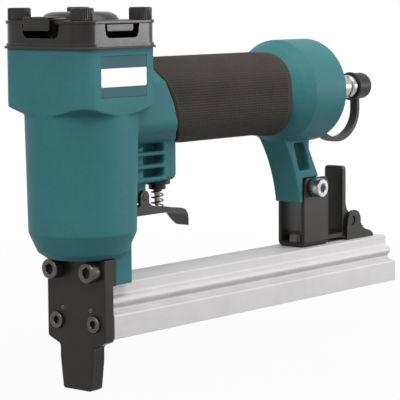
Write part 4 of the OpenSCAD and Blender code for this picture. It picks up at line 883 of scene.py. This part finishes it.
# %% [markdown]
# ## Muffler screen
# Behind the exhaust windows a folded strip of black felt breaks the rush of used air. Without it one could
# look through the cap from one window to the next.


# %% Folded felt strip
SCREEN_Y1, SCREEN_Z0, SCREEN_H = 9.4, 143.85, 5.3


def fold(reach, corner):
    """One face of the strip: along three sides of the cap, with a short slant at each corner."""
    half = [(reach, SCREEN_Y1), (reach, -corner), (corner, -reach)]
    return half + [(-x, y) for x, y in half[::-1]]


screen = cut_plate("muffler_screen", fold(11.0, 8.6) + fold(10.5, 8.4)[::-1], SCREEN_H, "XY", SCREEN_Z0)
finish(soften(screen, 0.12, 2, 30), "body", seal_rubber, "nitrile")

# %% [markdown]
# ## Trigger
# The trigger is a lever of bent sheet: two cheeks with round ears on the pin, a web below the valve stem,
# and a narrower finger end that bends down to a round tip. The side outline is cut from plate, the channel
# between the cheeks is milled out, and the finger end is a second strip, trimmed round.

# %% Trigger lever
CHEEK_X, FINGER_X, WEB_Z0, WEB_Z1 = 7.5, 5.5, 69.1, 70.6
cheek_outline = [(23.2, WEB_Z0), (48.9, WEB_Z0), (48.9, WEB_Z1), (45.3, 70.9), (38.5, 72.0), (34.2, 73.0),
                 (32.7, 74.2), (32.7, PIN_Z), (27.3, PIN_Z), (27.3, 73.3), (23.2, 71.6)]
finger_outline = [(46.3, WEB_Z0), (46.3, WEB_Z1), (52.0, 70.3), (55.6, 69.9), (57.4, 69.5), (58.7, 68.8),
                  (59.8, 67.7), (61.6, 65.4), (64.0, 62.4), (62.8, 61.5), (60.4, 64.4), (58.7, 66.5),
                  (57.8, 67.3), (56.9, 67.9), (55.4, 68.4), (52.0, 68.8)]
finger = cut_plate("finger", finger_outline, 2 * FINGER_X, "YZ", -FINGER_X)
tip_rim = [(FINGER_X, 46.0)] + arc((0, 58.5), FINGER_X, 0, 180, 20) + [(-FINGER_X, 46.0)]
cut(finger, cut_plate("tip_trim", tip_rim, 20.0, "XY", 55.0), operation="INTERSECT")
lever = cut_plate("trigger_lever", cheek_outline, 2 * CHEEK_X, "YZ", -CHEEK_X)
ears = rod("ears", 2.7, -CHEEK_X, CHEEK_X, 40, "X", TRIGGER_PIN)
cut(lever, ears, finger, operation="UNION")
cut(lever, bar("channel", (-6.0, 20.0, WEB_Z1), (6.0, 50.3, 82.0)))
cut(lever, rod("pin_hole", 1.55, -9, 9, 32, "X", TRIGGER_PIN))
finish(soften(lever, 0.35, 3, 28), "trigger", black_steel, "black_steel", "trigger")

# %% [markdown]
# ## Springs
# A spring is a small circle of wire carried round by the Screw modifier.


# %% Coil springs
CURL_STEPS = 24


def coil(name, r, wire, length, curls, axis, at):
    """A coil of wire along an axis, closed at both ends."""
    deselect()
    bpy.ops.mesh.primitive_circle_add(vertices=10, radius=wire / 2, fill_type="NOTHING",
                                      location=(r, 0, wire / 2), rotation=(math.pi / 2, 0, 0))
    obj = named(name)
    bpy.ops.object.transform_apply(location=True, rotation=True, scale=True)
    modify(obj, "SCREW", axis="Z", angle=2 * math.pi, screw_offset=(length - wire) / curls, iterations=curls,
           steps=CURL_STEPS, render_steps=CURL_STEPS)
    edit(obj)
    bpy.ops.mesh.remove_doubles(threshold=MERGE)
    bpy.ops.mesh.fill_holes(sides=0)
    bpy.ops.mesh.normals_make_consistent(inside=False)
    leave()
    return lay(smooth(obj, 50), axis, at)


# %% Springs in their places
SPRINGS = [
    ("trigger_spring", 2.5, 0.6, 3, "Z", "body", "trigger_pull", 1, 0.62, black_steel),
    ("valve_spring", 2.6, 0.6, 3, "Z", "body", "stem_slide", 1, 0.5, bright_steel),
    ("head_valve_spring", 14.45, 1.2, 4, "Z", "body", "head_valve_lift", 1, 0.66, bright_steel),
    ("latch_spring", 1.8, 0.6, 3, "Z", "body", "latch_tilt", 0, 0.6, black_steel),
    ("pusher_spring", 2.45, 0.7, 28, "Y", "staple_rail", "pusher_slide", 1, 0.42, bright_steel),
]
for node, r, wire, curls, axis, body, joint, still_end, keep, material in SPRINGS:
    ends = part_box(node)
    middle = [(a + b) / 2 for a, b in zip(*ends)]
    along = "XYZ".index(axis)
    low_end, anchor = list(middle), list(middle)
    low_end[along], anchor[along] = ends[0][along], ends[still_end][along]
    length = (ends[1][along] - ends[0][along]) / MM
    spring = coil(node + "_coil", r, wire, length, curls, axis, [c / MM for c in low_end])
    finish(spring, body, material, "bright_steel", node)
    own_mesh(spring)

# %% [markdown]
# ## Air inlet
# The plug is turned from bright bar, with a hexagon for the spanner. The dust cap is moulded rubber with a
# lip at its mouth, and its strap hangs in a loop from a ring in front of the hexagon.

# %% Plug and dust cap
HEX_Y0, HEX_Y1, HEX_R, HEX_EDGE_R = 160.1, 168.1, 8.66, 8.2
STRAP_X, STRAP_Z = 2.0, 108.8
plug_steps = [(6.5, 144.8), (6.5, 157.3), (6.0, 157.3), (6.0, HEX_Y0), (7.0, HEX_Y0), (7.0, HEX_Y1),
              (5.2, HEX_Y1), (5.5, 168.4), (5.5, 181.2), (5.0, 181.8), (4.2, 181.8), (4.2, 183.8),
              (5.0, 183.8), (5.5, 184.4), (5.5, 186.3), (5.0, 186.8), (4.6, 186.8), (4.6, 195.1),
              (4.0, 195.8)]
plug = turned("plug_turning", plug_steps, 64, "Y", HANDLE_AXIS)
hexagon_steps = [(HEX_EDGE_R, HEX_Y0), (HEX_R, 160.5), (HEX_R, 167.7), (HEX_EDGE_R, HEX_Y1)]
cut(plug, turned("hexagon", hexagon_steps, 6, "Y", HANDLE_AXIS), operation="UNION")
cut(plug, rod("air_way", 3.0, 140.0, 200.0, 40, "Y", HANDLE_AXIS))
finish(soften(plug, 0.12, 2, 30), "body", bright_steel, "bright_steel", "air_plug")
cap_steps = [(6.1, 187.1), (6.7, 187.5), (6.7, 188.7), (6.2, 189.3), (6.2, 196.3), (5.9, 197.4), (5.2, 198.0),
             (4.2, 198.2)]
cap = turned("dust_cap_moulding", cap_steps, 64, "Y", HANDLE_AXIS)
cut(cap, bar("strap_lug", (-STRAP_X, 190.8, STRAP_Z), (STRAP_X, 193.0, 112.9)), operation="UNION")
cut(cap, rod("mouth", 4.75, 185.7, 195.95, 48, "Y", HANDLE_AXIS))
finish(soften(cap, 0.3, 2, 30), "dust_cap", cap_rubber, "cap_rubber", "dust_cap")

# %% Strap
STRAP_Y0, STRAP_Y1, HANG_Z, STRAP_LOW, STRAP_HALF = 158.7, 191.9, 105.2, 91.4, 1.1
RING_R0, RING_R1, RING_Y0, RING_Y1, RING_Z = 6.05, 8.6, 157.45, 159.95, 109.0
mid, reach = (STRAP_Y0 + STRAP_Y1) / 2, (STRAP_Y1 - STRAP_Y0) / 2
fall = HANG_Z - STRAP_LOW
turns = [math.pi * i / 40 for i in range(41)]
outer_loop = [(mid - (reach + STRAP_HALF) * math.cos(t), HANG_Z - (fall + STRAP_HALF) * math.sin(t))
              for t in turns]
inner_loop = [(mid + (reach - STRAP_HALF) * math.cos(t), HANG_Z - (fall - STRAP_HALF) * math.sin(t))
              for t in turns]
cap_end = [(STRAP_Y1 + STRAP_HALF, STRAP_Z), (STRAP_Y1 - STRAP_HALF, STRAP_Z)]
ring_end = [(STRAP_Y0 + STRAP_HALF, RING_Z), (STRAP_Y0 - STRAP_HALF, RING_Z)]
strap_outline = ring_end[1:] + outer_loop + cap_end + inner_loop + ring_end[:1]
strap = cut_plate("strap_band", strap_outline, 2 * STRAP_X, "YZ", -STRAP_X)
ring_steps = [(RING_R1, RING_Y0), (RING_R1, RING_Y1), (RING_R0, RING_Y1), (RING_R0, RING_Y0)]
cut(strap, tube("strap_ring", ring_steps, 56, "Y", HANDLE_AXIS), operation="UNION")
finish(soften(strap, 0.4, 3, 40), "body", cap_rubber, "cap_rubber", "cap_strap")
strap.parent = None
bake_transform(strap)

# %% [markdown]
# ## Label panel
# The panel in the head's side stays plain: a film of darker teal with a blank pale band across it.

# %% Panel and band
panel = copied("label_plate", "label_panel", 0.08, 2)
finish(panel, "body", panel_film, "label_foil", "label_plate")
band = bar("label_band", (22.85, -12.7, 124.5), (22.95, 14.1, 131.8))
round_edges(band, 0.5, running("x", 0.05), 3)
finish(band, "body", band_film, "label_foil")

# %% [markdown]
# ## What stays as it is
# The inner pieces keep their CAD form, and get a finish of their own.

# %% Finishes for the inner pieces
INNER = [
    (ground_steel, ("cylinder_liner", "driver_blade", "driver_pin", "spring_rod")),
    (drawn_alloy, ("piston", "head_valve")),
    (seal_rubber, ("liner_orings", "bumper", "piston_oring", "head_valve_seal", "stem_oring", "tail_oring")),
]
for material, inner_nodes in INNER:
    for node in inner_nodes:
        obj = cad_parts[node]
        obj.data.materials.clear()
        obj.data.materials.append(material)
    print("finished with", material.name + ":", *inner_nodes)

# %% [markdown]
# ## Studio
# A pale floor, a bright world, and soft light from above, from the front and from the right. The floor
# glows softly where it is seen, straight or in a reflection, so it looks white and still takes the shadow.


# %% Floor
FLOOR_TONE = 0.24
GLOW_NEAR, GLOW_FAR = 0.96, 1.0
WHITE = (1, 1, 1, 1)


def seen_directly(tree):
    """One for rays from the camera, from reflections and through glass, and zero for the light itself."""
    path = add_node(tree, "LightPath")
    seen = path.outputs["Is Camera Ray"]
    for other in ("Is Glossy Ray", "Is Transmission Ray"):
        most = add_node(tree, "Math", "MAXIMUM")
        tree.links.new(seen, most.inputs[0])
        tree.links.new(path.outputs[other], most.inputs[1])
        seen = most.outputs["Value"]
    return seen


deselect()
bpy.ops.mesh.primitive_plane_add(size=12.0)
floor = named("floor")
paper = bpy.data.materials.new("paper")
paper.use_nodes = True
tree = paper.node_tree
link = tree.links.new
matte = tree.nodes["Principled BSDF"]
matte.inputs["Base Color"].default_value = (FLOOR_TONE, FLOOR_TONE, FLOOR_TONE, 1)
matte.inputs["Roughness"].default_value = 0.9
glow = add_node(tree, "Emission", Color=WHITE)
where = add_node(tree, "TexCoord")
away = add_node(tree, "VectorMath", "LENGTH")
link(where.outputs["Object"], away.inputs[0])
fade = add_node(tree, "MapRange", From_Min=0.12, From_Max=0.6, To_Min=GLOW_NEAR, To_Max=GLOW_FAR)
link(away.outputs["Value"], fade.inputs["Value"])
part = add_node(tree, "Math", "MULTIPLY")
link(seen_directly(tree), part.inputs[0])
link(fade.outputs["Result"], part.inputs[1])
mixed = add_node(tree, "MixShader")
link(part.outputs["Value"], mixed.inputs[0])
link(matte.outputs["BSDF"], mixed.inputs[1])
link(glow.outputs["Emission"], mixed.inputs[2])
link(mixed.outputs["Shader"], tree.nodes["Material Output"].inputs["Surface"])
floor.data.materials.append(paper)
print("floor:", floor.dimensions.x, "m wide")

# %% World
SKY_LIGHT, SKY_SEEN = 0.58, 1.0
world = bpy.data.worlds.new("studio")
bpy.context.scene.world = world
world.use_nodes = True
tree = world.node_tree
link = tree.links.new
level = add_node(tree, "MapRange", To_Min=SKY_LIGHT, To_Max=SKY_SEEN)
link(seen_directly(tree), level.inputs["Value"])
sky = tree.nodes["Background"]
sky.inputs["Color"].default_value = WHITE
link(level.outputs["Result"], sky.inputs["Strength"])
print("world:", world.name)


# %% Lights
def soft_light(name, place, aim, width, height, power):
    """An area light that looks from a place to an aim."""
    deselect()
    bpy.ops.object.light_add(type="AREA", location=place)
    lamp = bpy.context.object
    lamp.name = name
    lamp.data.shape = "RECTANGLE"
    lamp.data.size, lamp.data.size_y = width, height
    lamp.data.energy = power
    lamp.rotation_euler = (Vector(aim) - Vector(place)).to_track_quat("-Z", "Y").to_euler()
    print(name, power, "W")


MIDDLE = (0, 0.08, 0.08)
soft_light("right_box", (0.83, 1.0, 0.2), MIDDLE, 0.32, 0.26, 4.6)
soft_light("top_box", (0.45, 0.2, 1.0), MIDDLE, 0.8, 0.8, 8.0)
soft_light("front_box", (0.25, -1.0, 0.8), MIDDLE, 0.6, 0.6, 7.5)

# %% [markdown]
# ## Camera
# The view looks down a little from the front right, through a long lens.

# %% Camera
CAMERA_AT = (0.53057, -0.56404, 0.16236)
azimuth, pitch, roll = [math.radians(angle) for angle in (39.71, 6.27, -0.36)]
deselect()
bpy.ops.object.camera_add(location=CAMERA_AT)
camera = bpy.context.object
right = Vector((math.cos(azimuth), math.sin(azimuth), 0))
forward = Vector((-math.sin(azimuth) * math.cos(pitch), math.cos(azimuth) * math.cos(pitch),
                  -math.sin(pitch)))
up = right.cross(forward)
right, up = right * math.cos(roll) + up * math.sin(roll), up * math.cos(roll) - right * math.sin(roll)
camera.matrix_world = Matrix((right, up, -forward)).transposed().to_4x4()
camera.location = CAMERA_AT
camera.data.sensor_width = 36.0
camera.data.lens = 172.13
camera.data.clip_end = 50.0
bpy.context.scene.camera = camera
bpy.context.scene.view_settings.view_transform = "Standard"
print("camera at", CAMERA_AT)
